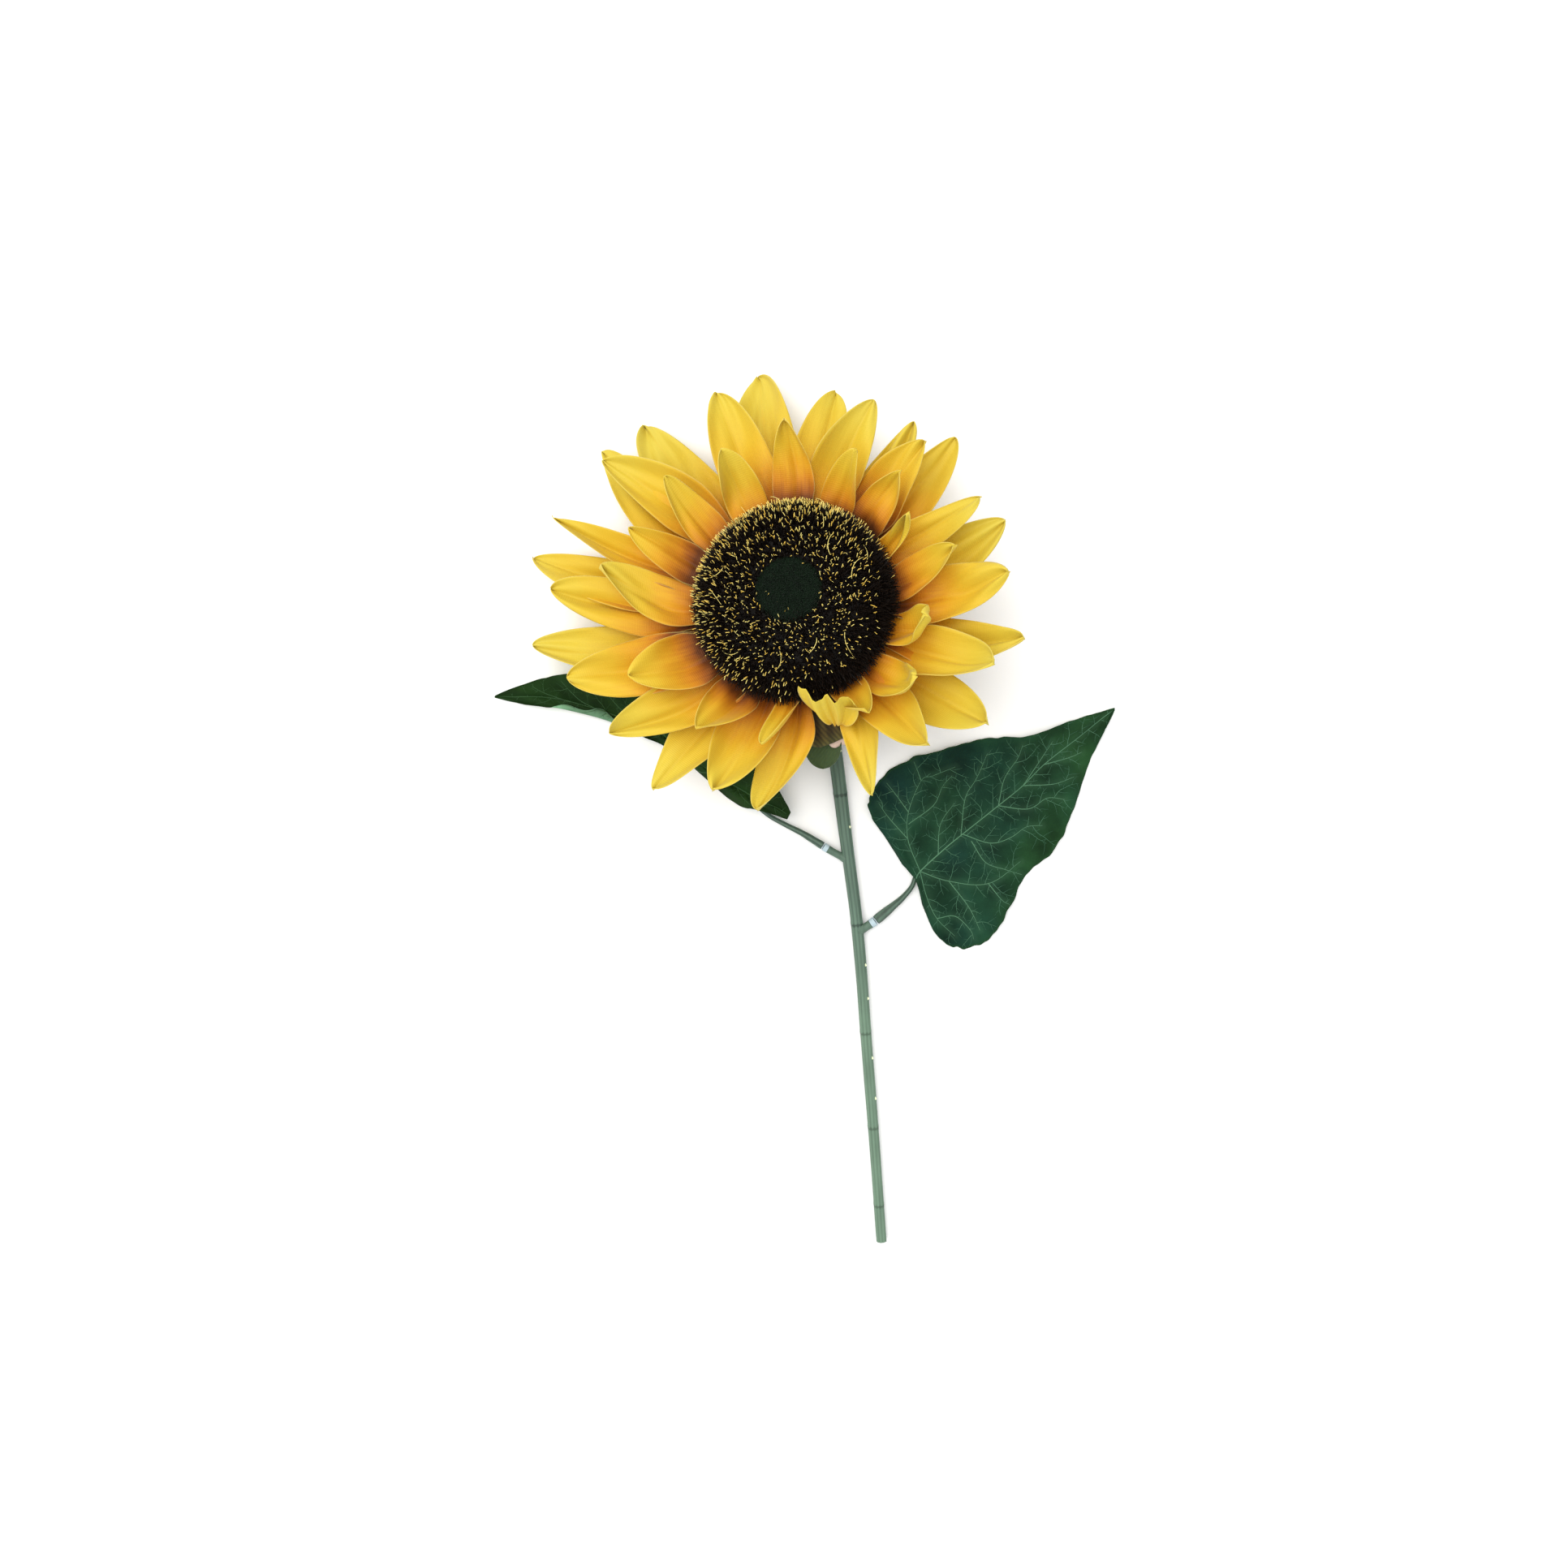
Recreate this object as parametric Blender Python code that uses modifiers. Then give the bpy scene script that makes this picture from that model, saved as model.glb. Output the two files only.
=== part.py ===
"""An artificial sunflower stem, lying on its back with its face up.

Die-cut fabric rings of petals and sepals are threaded on a peg between a bristle-covered
seed head and a plastic cup. The cup sits on a plastic-coated wire stem with two leaves.
The stem runs to -Y along the surface, the head is at +Y, and +Z is up.
"""
import math

import bmesh
import bpy
from mathutils import Euler, Vector

MM = 0.001
MERGE = 0.00001                 # merge distance for turned shapes

# The head: where its peg axis crosses the back petal ring, and how it leans.
HEAD_CENTRE = Vector((5.6, 69.6, 31.0)) * MM
HEAD_LEAN_TO_TOP = math.radians(-7.0)
HEAD_LEAN_TO_LEFT = math.radians(-8.0)

# Heights of the layers along the peg axis, from the back petal ring.
CLOTH = 0.5 * MM                # cloth thickness, stiffened silk
CALYX_LEVEL = -1.2 * MM
SEPAL_LEVEL = -2.4 * MM
CUP_TOP = -3.0 * MM
CUP_BOTTOM = -14.0 * MM
RING_STEP = 1.2 * MM            # from one petal ring to the next
HUB_RADIUS = 25.0 * MM          # the uncut middle of a petal ring
PEG_RADIUS = 2.0 * MM
PEG_HOLE = 2.4 * MM
PEG_LOW, PEG_HIGH = -7.0 * MM, 12.0 * MM

# The way every petal is drawn: how long the handles of its midrib curve are, as a share of its
# chord, where along it it has its full width and its full cup, and how its tip closes.
HANDLE_SHARE = 0.4
SWING_POWER = 1.5
FULL_WIDTH_AT = 0.5
CUPPED_AT = 0.3
TIP_ROUNDING = 0.8
TIP_SHARE = 0.03                # what is left of the width at the very tip
PETAL_ROOT_HALF = 3.9 * MM      # half a petal's width at the hub
SEPAL_ROOT_HALF = 4.6 * MM
PETAL_STATIONS = (0.12, 0.28, 0.45, 0.62, 0.78, 0.9, 0.97, 1.0)
SEPAL_STATIONS = (0.2, 0.45, 0.7, 0.86, 0.95, 1.0)
PETAL_BLUNTNESS, SEPAL_BLUNTNESS = 3.8, 12.0

DISC_RADIUS = 40.0 * MM         # outside of the bristles
DISC_TOP = 31.0 * MM
CORE_RADIUS = 33.5 * MM         # outside of the moulded dome under the bristles
BUTTON_RADIUS = 11.6 * MM

WIRE_RADIUS = 0.95 * MM
BORE_RADIUS = 1.4 * MM

LEAF_CLOTH = 0.5 * MM

# Petals, one row each: tip angle (0 to the right, 90 to the top), how many degrees the petal
# swings sideways from root to tip, tip radius, tip height over its own ring, width (mm),
# then the slope at the root and at the tip in degrees, and how deep it is cupped. A petal that
# is folded back over itself also has its own handle share and bluntness.
BACK_PETALS = [
    (21, 8, 87, 8, 24, 2, 20, 0.25),
    (48, 8, 93, 0, 22, 0, 12, 0.25),
    (60, 1, 91, -6, 15, -3, 0, 0.25),
    (82, 0, 95, -8, 22, 1, -12, 0.20),
    (101, -3, 107, -14, 26, -2, -18, 0.20),
    (129, -1, 108, -11, 25, -3, -12, 0.15),
    (140, -9, 111, -5, 23, 1, -4, 0.20),
    (167, -6, 116, -6, 24, 0, -6, 0.20),
    (186, -11, 112, -5, 24, 0, 0, 0.20),
    (232, -2, 92, 3, 24, -1, 10, 0.15),
    (260, -8, 82, 6, 22, 2, 14, 0.20),
    (292, -9, 81, 6, 20, 2, 10, 0.20),
    (327, 7, 88, 10, 25, 2, 24, 0.20),
    (350, 6, 89, 10, 23, 2, 26, 0.25),
]
MIDDLE_PETALS = [
    (5, 2, 82, 19, 24, 8, 34, 0.25),
    (27, -5, 80, 19, 16, 8, 36, 0.35),
    (51, 0, 80, 13, 24, 6, 26, 0.25),
    (70, -5, 88, 7, 24, 4, 16, 0.25),
    (111, 4, 97, 3, 25, 4, 4, 0.30),
    (142, 7, 103, 3, 25, 4, 2, 0.25),
    (159, -5, 108, 4, 15, 4, 0, 0.30),
    (175, -8, 101, 5, 24, 2, 8, 0.20),
    (198, -5, 95, 11, 25, 8, 12, 0.20),
    (215, -8, 89, 9, 25, 3, 14, 0.20),
    (248, -4, 80, 13, 26, 6, 22, 0.25),
    (286, -1, 43.0, 22, 13, 8, 116, 0.0, 0.95, 9.0),
    (312, 2, 77, 19, 23, 8, 40, 0.30),
    (340, 3, 81, 21, 24, 8, 42, 0.25),
]
FRONT_PETALS = [
    (15, 8, 64, 22, 17, 8, 52, 0.30),
    (33, 5, 53, 24, 10, 10, 78, 0.30),
    (48, 0, 62, 22, 17, 5, 56, 0.25),
    (66, -3, 60, 24, 17, 15, 60, 0.25),
    (93, -1, 70, 20, 19, 8, 42, 0.25),
    (116, -1, 65, 20, 18, 8, 46, 0.30),
    (136, -3, 71, 18, 17, 7, 36, 0.30),
    (156, -5, 71, 18, 18, 13, 32, 0.25),
    (169, -11, 79, 13, 21, 4, 26, 0.20),
    (205, -5, 70, 16, 25, 8, 30, 0.30),
    (235, -2, 62, 18, 22, 8, 44, 0.30),
    (259, -12, 58, 15, 10, 12, 24, 0.30),
    (303, 4, 54, 18, 16, 12, 64, 0.35),
    (325, 7, 57, 24, 18, 10, 100, 0.30),
    (348, 7, 52, 26, 17, 5, 112, 0.30),
]

# Sepals: rounded lobes of one green cloth ring behind the petals.
SEPAL_COUNT = 10
SEPAL_FIRST_ANGLE = 279
SEPAL_ROW = (0, 0, 66, -12, 20, -8, -18, 0.10)
SEPAL_HUB = 17.0 * MM

# The calyx, a ribbed cloth disc that backs the petals: radius and height of its rings.
CALYX_PROFILE = [(2.4, 0.0), (18.0, -0.2), (36.0, -1.6), (55.0, -5.0)]

# Stem route from inside the cup down to the surface and along it: x, y, z, radius (mm).
STEM_ROUTE = [
    (6.9, 68.5, 21.9, 3.0), (7.55, 67.8, 17.0, 3.1), (8.6, 66.3, 11.9, 3.15),
    (10.4, 62.8, 7.6, 3.15), (12.6, 57.0, 4.8, 3.15), (15.2, 48.0, 3.5, 3.15),
    (18.4, 32.0, 3.2, 3.1), (21.9, 10.6, 3.15, 3.05), (25.6, -18.5, 2.9, 2.8),
    (27.8, -35.0, 2.75, 2.65), (30.4, -55.0, 2.65, 2.55), (32.8, -80.0, 2.55, 2.45),
    (34.6, -105.0, 2.45, 2.35), (36.6, -130.0, 2.4, 2.3), (38.9, -160.0, 2.3, 2.2),
    (41.3, -193.5, 2.25, 2.15),
]
BORE_START = 2                  # the wire begins at this point of the route

# Branch stubs moulded on the stem: route to the joint with the leaf's own stalk.
STUB_LEFT = [(27.0, -32.0, 2.8, 1.9), (21.5, -29.2, 3.0, 1.7), (16.8, -26.4, 3.3, 1.75)]
STUB_RIGHT = [(31.4, -62.0, 2.7, 2.0), (35.0, -60.2, 2.9, 1.9), (38.4, -57.9, 3.2, 2.0)]

# Leaf stalks: a sleeve from the joint to the leaf, then a rib under the blade.
STALK_LEFT = [
    (16.4, -26.15, 3.35, 1.7), (12.0, -23.4, 3.6, 1.55), (7.2, -20.5, 3.5, 1.3),
    (1.0, -17.4, 2.8, 1.1), (-5.8, -13.7, 1.9, 1.0), (-11.0, -9.6, 1.6, 0.95),
    (-18.0, -3.0, 1.5, 0.9), (-32.0, 6.0, 1.5, 0.85), (-50.0, 20.0, 1.5, 0.8),
    (-66.0, 27.0, 1.6, 0.7), (-82.0, 32.5, 1.8, 0.6),
]
STALK_RIGHT = [
    (38.75, -57.6, 3.25, 2.0), (41.6, -55.2, 3.5, 2.15), (45.8, -51.7, 3.4, 1.7),
    (50.0, -48.2, 2.7, 1.3), (54.0, -43.6, 2.1, 1.05), (57.4, -36.9, 1.8, 1.0),
    (69.0, -26.0, 1.7, 0.9), (88.0, -11.0, 1.6, 0.8), (104.0, 2.5, 1.5, 0.65),
]

# Leaf blades, from base to tip: one edge, the midrib and the other edge (mm).
LEAF_RIGHT = [
    ((50.2, -34.1, 2.2), (55.6, -40.4, 4.3), (58.6, -51.0, 2.0)),
    ((43.4, -23.2, 1.6), (57.4, -36.9, 4.0), (64.5, -63.8, 0.9)),
    ((36.2, -12.0, 1.0), (62.5, -32.0, 3.8), (74.0, -69.6, 0.4)),
    ((37.5, -2.5, 0.5), (69.0, -26.0, 3.6), (85.5, -67.0, 0.4)),
    ((50.0, 9.0, 0.4), (77.0, -19.5, 3.5), (94.5, -54.0, 1.4)),
    ((70.0, 15.5, 1.2), (88.0, -11.0, 3.4), (103.0, -38.5, 0.5)),
    ((88.0, 19.5, 0.5), (98.0, -3.0, 3.2), (114.5, -27.5, 1.0)),
    ((104.0, 20.5, 1.4), (108.0, 6.0, 3.0), (122.5, -11.5, 0.4)),
    ((121.0, 26.5, 0.8), (121.0, 16.0, 2.4), (129.0, 8.0, 0.8)),
    ((133.0, 30.2, 0.6), (132.5, 24.5, 1.2), (135.0, 21.0, 0.6)),
    ((140.2, 32.2, 0.4), (140.6, 32.1, 0.5), (140.4, 31.6, 0.4)),
]
LEAF_LEFT = [
    ((1.4, -9.0, 8.0), (2.8, -12.0, 6.4), (1.4, -14.8, 4.8)),
    ((-6.0, 3.0, 12.0), (-16.0, -3.5, 4.8), (-11.0, -10.9, 4.1)),
    ((-27.0, 25.0, 12.0), (-32.0, 6.0, 3.9), (-22.0, -7.2, 0.4)),
    ((-46.0, 38.0, 10.0), (-50.0, 20.0, 3.7), (-46.0, 13.0, 0.4)),
    ((-63.0, 44.0, 12.0), (-66.0, 27.0, 3.8), (-62.0, 20.0, 1.4)),
    ((-80.0, 46.0, 12.0), (-82.0, 32.5, 4.0), (-77.0, 25.6, 2.2)),
    ((-97.0, 45.0, 9.0), (-99.0, 36.5, 3.6), (-98.0, 30.6, 2.2)),
    ((-112.0, 41.0, 4.5), (-113.0, 37.4, 2.6), (-112.0, 34.0, 1.2)),
    ((-122.6, 37.3, 0.7), (-123.0, 37.0, 0.6), (-122.6, 36.6, 0.4)),
]
LEAF_ARCH = 1.6 * MM            # how far each half of a blade swells


def clear_scene():
    for old in list(bpy.data.objects):
        bpy.data.objects.remove(old, do_unlink=True)


def make_collection(name):
    made = bpy.data.collections.new(name)
    bpy.context.scene.collection.children.link(made)
    return made


def make_material(name, colour, roughness, metallic=0.0):
    made = bpy.data.materials.new(name)
    made.use_nodes = True
    shader = made.node_tree.nodes["Principled BSDF"]
    shader.inputs["Base Color"].default_value = (*colour, 1.0)
    shader.inputs["Roughness"].default_value = roughness
    shader.inputs["Metallic"].default_value = metallic
    return made


def make_empty(name, location, parent=None):
    made = bpy.data.objects.new(name, None)
    made.location = location
    made.parent = parent
    SUNFLOWER.objects.link(made)
    return made


def add_piece(name, mesh, material, parent):
    """An object for one sub-part, in the object's own collection."""
    made = bpy.data.objects.new(name, mesh)
    made.parent = parent
    made.data.materials.append(material)
    SUNFLOWER.objects.link(made)
    return made


def add_thickness(piece, thickness):
    wall = piece.modifiers.new("cloth thickness", "SOLIDIFY")
    wall.thickness = thickness
    wall.offset = 0.0


def mesh_from(name, shape, smooth_angle=None):
    bmesh.ops.recalc_face_normals(shape, faces=shape.faces)
    mesh = bpy.data.meshes.new(name)
    shape.to_mesh(mesh)
    shape.free()
    if smooth_angle:
        mesh.shade_smooth()
        mesh.set_sharp_from_angle(angle=math.radians(smooth_angle))
    return mesh


def smooth_step(x):
    x = min(max(x, 0.0), 1.0)
    return x * x * (3.0 - 2.0 * x)


def bezier(p0, p1, p2, p3, s):
    """Point and direction of a cubic curve in the plane of the petal's midrib."""
    q = 1.0 - s
    point = q**3 * p0 + 3 * q * q * s * p1 + 3 * q * s * s * p2 + s**3 * p3
    along = 3 * q * q * (p1 - p0) + 6 * q * s * (p2 - p1) + 3 * s * s * (p3 - p2)
    return point, along.normalized()


def petal_outline(s, root_share, bluntness):
    """Half width at s from root to tip, as a share of the petal's half width."""
    grow = root_share + (1.0 - root_share) * smooth_step(s / FULL_WIDTH_AT)
    return grow * max((1.0 - s**bluntness)**TIP_ROUNDING, TIP_SHARE)


def petal_point(row, level, hub, root_half, bluntness, s, t):
    """A point of one petal: s runs from root to tip, t from one edge to the other."""
    tip_angle, swing, reach, rise, width, lift, pitch, cup, *special = row
    lift, pitch = math.radians(lift), math.radians(pitch)
    start = Vector((hub, level))
    end = Vector((reach * MM, level + rise * MM))
    handle = (special[0] if special else HANDLE_SHARE) * (end - start).length
    leave = start + handle * Vector((math.cos(lift), math.sin(lift)))
    arrive = end - handle * Vector((math.cos(pitch), math.sin(pitch)))
    (radius, height), (run, climb) = bezier(start, leave, arrive, end, s)
    angle = math.radians(tip_angle - swing * (1.0 - s**SWING_POWER))
    outward = Vector((math.cos(angle), math.sin(angle), 0.0))
    across = Vector((-math.sin(angle), math.cos(angle), 0.0))
    face = run * Vector((0, 0, 1)) - climb * outward
    half = 0.5 * width * MM
    if special:
        bluntness = special[1]
    local_half = half * petal_outline(s, root_half / half, bluntness)
    cupped = cup * local_half * smooth_step(s / CUPPED_AT) * t * t
    return outward * radius + Vector((0, 0, height)) + across * local_half * t + face * cupped


def make_petal_ring(name, rows, level, material, hub=HUB_RADIUS, root_half=PETAL_ROOT_HALF,
                    bluntness=PETAL_BLUNTNESS, stations=PETAL_STATIONS):
    """One die-cut ring: a flat hub with a peg hole, and its petals, as one cloth."""
    sides = (-1.0, 0.0, 1.0)
    shape = bmesh.new()
    inner, outer, roots = [], [], []
    for row in sorted(rows, key=lambda r: r[0] - r[1]):
        root_angle = math.radians(row[0] - row[1])
        outer_root = []
        for t in sides:
            angle = root_angle + t * root_half / hub
            direction = Vector((math.cos(angle), math.sin(angle), 0.0))
            lift = Vector((0, 0, level))
            inner.append(shape.verts.new(direction * PEG_HOLE + lift))
            outer_root.append(shape.verts.new(direction * hub + lift))
        outer += outer_root
        roots.append((row, outer_root))
    count = len(outer)
    for i in range(count):
        j = (i + 1) % count
        shape.faces.new((inner[i], outer[i], outer[j], inner[j]))
    for row, previous in roots:
        for s in stations:
            current = [
                shape.verts.new(petal_point(row, level, hub, root_half, bluntness, s, t))
                for t in sides
            ]
            for k in range(len(sides) - 1):
                shape.faces.new((previous[k], current[k], current[k + 1], previous[k + 1]))
            previous = current
    ring = add_piece(name, mesh_from(name, shape, 50), material, HEAD)
    add_thickness(ring, CLOTH)
    return ring


def make_calyx():
    """The ribbed backing disc, with shallow scallops round its edge."""
    sides = 40
    shape = bmesh.new()
    loops = []
    for radius, height in CALYX_PROFILE:
        loop = []
        for i in range(sides):
            angle = 2 * math.pi * i / sides
            scallop = 1.5 * MM * math.cos(i * math.pi) * (radius > 50.0)
            far = radius * MM + scallop
            place = (far * math.cos(angle), far * math.sin(angle), CALYX_LEVEL + height * MM)
            loop.append(shape.verts.new(place))
        loops.append(loop)
    for low, high in zip(loops, loops[1:]):
        for i in range(sides):
            j = (i + 1) % sides
            shape.faces.new((low[i], high[i], high[j], low[j]))
    calyx = add_piece("calyx_disc", mesh_from("calyx_disc", shape, 50), OLIVE_CLOTH, HEAD)
    add_thickness(calyx, CLOTH)


def make_turned(name, profile, material, steps, smooth_angle=40):
    """A shape turned about the peg axis. The profile, in mm, runs down its outer side."""
    mesh = bpy.data.meshes.new(name)
    points = [(radius * MM, 0.0, height * MM) for radius, height in profile]
    open_ended = profile[0][0] == 0 and profile[-1][0] == 0
    edges = [(i, i + 1) for i in range(len(points) - 1)]
    if not open_ended:
        edges.append((len(points) - 1, 0))
    mesh.from_pydata(points, edges, [])
    piece = add_piece(name, mesh, material, HEAD)
    turn = piece.modifiers.new("turn", "SCREW")
    turn.axis = "Z"
    turn.steps = steps
    turn.render_steps = steps
    turn.use_merge_vertices = True
    turn.merge_threshold = MERGE
    turn.use_smooth_shade = True
    return piece


def smooth_route(points, spacing):
    """Catmull-Rom points through a route of (x, y, z, radius), a given distance apart."""
    rows = [Vector(p) for p in points]
    rows = [2 * rows[0] - rows[1], *rows, 2 * rows[-1] - rows[-2]]
    out = []
    for a, b, c, d in zip(rows, rows[1:], rows[2:], rows[3:]):
        parts = max(1, round((c.xyz - b.xyz).length / spacing))
        for i in range(parts):
            s = i / parts
            out.append(0.5 * (2 * b + (c - a) * s + (2 * a - 5 * b + 4 * c - d) * s * s
                              + (3 * b - a - 3 * c + d) * s**3))
    out.append(rows[-2])
    return out


def make_tube(name, route, material, spacing=7.0, radius=None, sides=2):
    """A round bar along a route, as a mesh with welded caps."""
    curve = bpy.data.curves.new(name, "CURVE")
    curve.dimensions = "3D"
    curve.bevel_depth = MM
    curve.bevel_resolution = sides
    curve.use_fill_caps = True
    spline = curve.splines.new("POLY")
    points = smooth_route(route, spacing)
    spline.points.add(len(points) - 1)
    for point, place in zip(spline.points, points):
        point.co = (*(place.xyz * MM), 1.0)
        point.radius = radius / MM if radius else place.w
    bar = bpy.data.objects.new(name, curve)
    SUNFLOWER.objects.link(bar)
    bpy.context.view_layer.update()
    graph = bpy.context.evaluated_depsgraph_get()
    mesh = bpy.data.meshes.new_from_object(bar.evaluated_get(graph))
    bpy.data.objects.remove(bar, do_unlink=True)
    shape = bmesh.new()
    shape.from_mesh(mesh)
    bmesh.ops.remove_doubles(shape, verts=shape.verts, dist=MERGE)
    bmesh.ops.recalc_face_normals(shape, faces=shape.faces)
    shape.to_mesh(mesh)
    shape.free()
    mesh.materials.clear()
    mesh.name = name
    return add_piece(name, mesh, material, ROOT)


def use_as_cutter(tool):
    SUNFLOWER.objects.unlink(tool)
    CUTTERS.objects.link(tool)
    tool.hide_render = True
    tool.display_type = "WIRE"


def add_boolean(piece, tool, operation):
    use_as_cutter(tool)
    step = piece.modifiers.new(tool.name, "BOOLEAN")
    step.operation = operation
    step.solver = "EXACT"
    step.object = tool


def make_stem():
    """The ribbed plastic coat with its two branch stubs, and the steel wire in its bore."""
    coat = make_tube("stem_coating", STEM_ROUTE, STEM_PLASTIC, sides=4)
    for name, stub in (("stub_left", STUB_LEFT), ("stub_right", STUB_RIGHT)):
        add_boolean(coat, make_tube(name, stub, STEM_PLASTIC, spacing=4.0), "UNION")
    wire_route = STEM_ROUTE[BORE_START:]
    last, before = Vector(wire_route[-1]), Vector(wire_route[-2])
    past_end = last + 0.1 * (last - before)
    bore_route = [*wire_route, tuple(past_end)]
    bore = make_tube("wire_bore", bore_route, STEM_PLASTIC, radius=BORE_RADIUS)
    add_boolean(coat, bore, "DIFFERENCE")
    start, after = Vector(wire_route[0]), Vector(wire_route[1])
    inside = start + 0.15 * (after - start)
    wire = [tuple(inside), *wire_route[1:]]
    make_tube("stem_wire", wire, STEEL, radius=WIRE_RADIUS)


def make_leaf(name, stations):
    """A cloth blade lofted between two edges and a midrib, each half swelling a little."""
    sides = (-1.0, -0.66, -0.33, 0.0, 0.33, 0.66, 1.0)
    shape = bmesh.new()
    previous = None
    for left, rib, right in stations:
        current = []
        for t in sides:
            edge = Vector(left) if t < 0 else Vector(right)
            place = Vector(rib).lerp(edge, abs(t)) * MM
            reach = (edge - Vector(rib)).length * MM
            swell = min(LEAF_ARCH, 0.1 * reach) * math.sin(math.pi * abs(t))
            current.append(shape.verts.new(place + Vector((0, 0, swell))))
        if previous:
            for k in range(len(sides) - 1):
                shape.faces.new((previous[k], current[k], current[k + 1], previous[k + 1]))
        previous = current
    leaf = add_piece(name, mesh_from(name, shape, 60), LEAF_GREEN, ROOT)
    add_thickness(leaf, LEAF_CLOTH)


def rest_on_surface():
    """Moves the root so that the whole object's box stands on the origin, at its centre."""
    bpy.context.view_layer.update()
    graph = bpy.context.evaluated_depsgraph_get()
    corners = []
    for piece in SUNFLOWER.objects:
        if piece.type == "MESH":
            solid = piece.evaluated_get(graph)
            corners += [solid.matrix_world @ v.co for v in solid.data.vertices]
    low = [min(c[i] for c in corners) for i in range(3)]
    high = [max(c[i] for c in corners) for i in range(3)]
    ROOT.location = (-(low[0] + high[0]) / 2, -(low[1] + high[1]) / 2, -low[2])


clear_scene()
SUNFLOWER = make_collection("artificial sunflower stem")
CUTTERS = make_collection("cutters")
CUTTERS.hide_render = True

PETAL_CLOTH = make_material("petal cloth", (0.84, 0.52, 0.07), 0.55)
SEPAL_CLOTH = make_material("sepal cloth", (0.08, 0.13, 0.03), 0.8)
OLIVE_CLOTH = make_material("calyx cloth", (0.10, 0.07, 0.02), 0.8)
LEAF_GREEN = make_material("leaf cloth", (0.03, 0.12, 0.05), 0.6)
STEM_PLASTIC = make_material("stem plastic", (0.20, 0.32, 0.21), 0.5)
CUP_PLASTIC = make_material("cup plastic", (0.70, 0.56, 0.46), 0.5)
PEG_PLASTIC = make_material("peg plastic", (0.75, 0.75, 0.72), 0.5)
BRISTLE = make_material("bristles", (0.02, 0.012, 0.008), 0.8)
FLOCK = make_material("flock", (0.015, 0.04, 0.018), 0.9)
STEEL = make_material("steel wire", (0.45, 0.45, 0.46), 0.4, 1.0)

ROOT = make_empty("sunflower_root", (0, 0, 0))
HEAD = make_empty("head_axis", HEAD_CENTRE, ROOT)
HEAD.rotation_euler = Euler((HEAD_LEAN_TO_TOP, HEAD_LEAN_TO_LEFT, 0.0))

make_petal_ring("petal_ring_back", BACK_PETALS, 0.0, PETAL_CLOTH)
make_petal_ring("petal_ring_middle", MIDDLE_PETALS, RING_STEP, PETAL_CLOTH)
make_petal_ring("petal_ring_front", FRONT_PETALS, 2 * RING_STEP, PETAL_CLOTH)

sepals = [
    (SEPAL_FIRST_ANGLE + 360 / SEPAL_COUNT * i, *SEPAL_ROW[1:]) for i in range(SEPAL_COUNT)
]
make_petal_ring("sepal_ring", sepals, SEPAL_LEVEL, SEPAL_CLOTH, hub=SEPAL_HUB,
                root_half=SEPAL_ROOT_HALF, bluntness=SEPAL_BLUNTNESS, stations=SEPAL_STATIONS)
make_calyx()

make_turned("centre_peg", [
    (0, PEG_HIGH / MM), (PEG_RADIUS / MM, PEG_HIGH / MM),
    (PEG_RADIUS / MM, PEG_LOW / MM), (0, PEG_LOW / MM)], PEG_PLASTIC, 16)
make_turned("receptacle_cup", [
    (2.4, CUP_TOP / MM), (16.0, CUP_TOP / MM), (15.6, -4.6), (12.0, -7.4), (7.4, -10.4),
    (5.4, CUP_BOTTOM / MM), (3.6, CUP_BOTTOM / MM), (3.6, -8.6), (2.4, -8.2)],
    CUP_PLASTIC, 24)
make_turned("seed_head_core", [
    (0, 26.5), (11.5, 26.4), (18.0, 25.4), (25.0, 22.9), (31.0, 17.9),
    (CORE_RADIUS / MM, 12.0), (CORE_RADIUS / MM, 7.0), (31.7, 7.0), (31.7, 11.8),
    (29.4, 16.8), (24.0, 21.2), (17.4, 23.6),
    (5.0, 24.4), (5.0, 3.0), (2.4, 3.0), (2.4, 12.6), (0, 12.6)], CUP_PLASTIC, 32)
make_turned("bristle_pile", [
    (12.1, 29.4), (14.0, 30.6), (21.0, DISC_TOP / MM), (29.0, 29.0), (35.5, 24.4),
    (39.2, 18.0), (DISC_RADIUS / MM, 13.0), (38.6, 9.4), (36.0, 8.2), (33.9, 8.2),
    (33.9, 12.2), (31.4, 18.3), (25.3, 23.4), (18.2, 25.9), (12.1, 26.9)], BRISTLE, 36)
make_turned("centre_button", [
    (0, 28.3), (8.0, 28.5), (10.8, 28.9), (BUTTON_RADIUS / MM, 28.2),
    (BUTTON_RADIUS / MM, 27.2), (10.8, 26.9), (0, 26.9)], FLOCK, 24)

make_stem()
make_tube("leaf_stalk_left", STALK_LEFT, STEM_PLASTIC, spacing=6.0)
make_tube("leaf_stalk_right", STALK_RIGHT, STEM_PLASTIC, spacing=6.0)
make_leaf("leaf_right", LEAF_RIGHT)
make_leaf("leaf_left", LEAF_LEFT)

rest_on_surface()
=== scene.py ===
import math
import random

import bmesh
import bpy
import numpy as np
from mathutils import Euler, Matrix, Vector
from mathutils.bvhtree import BVHTree


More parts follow.
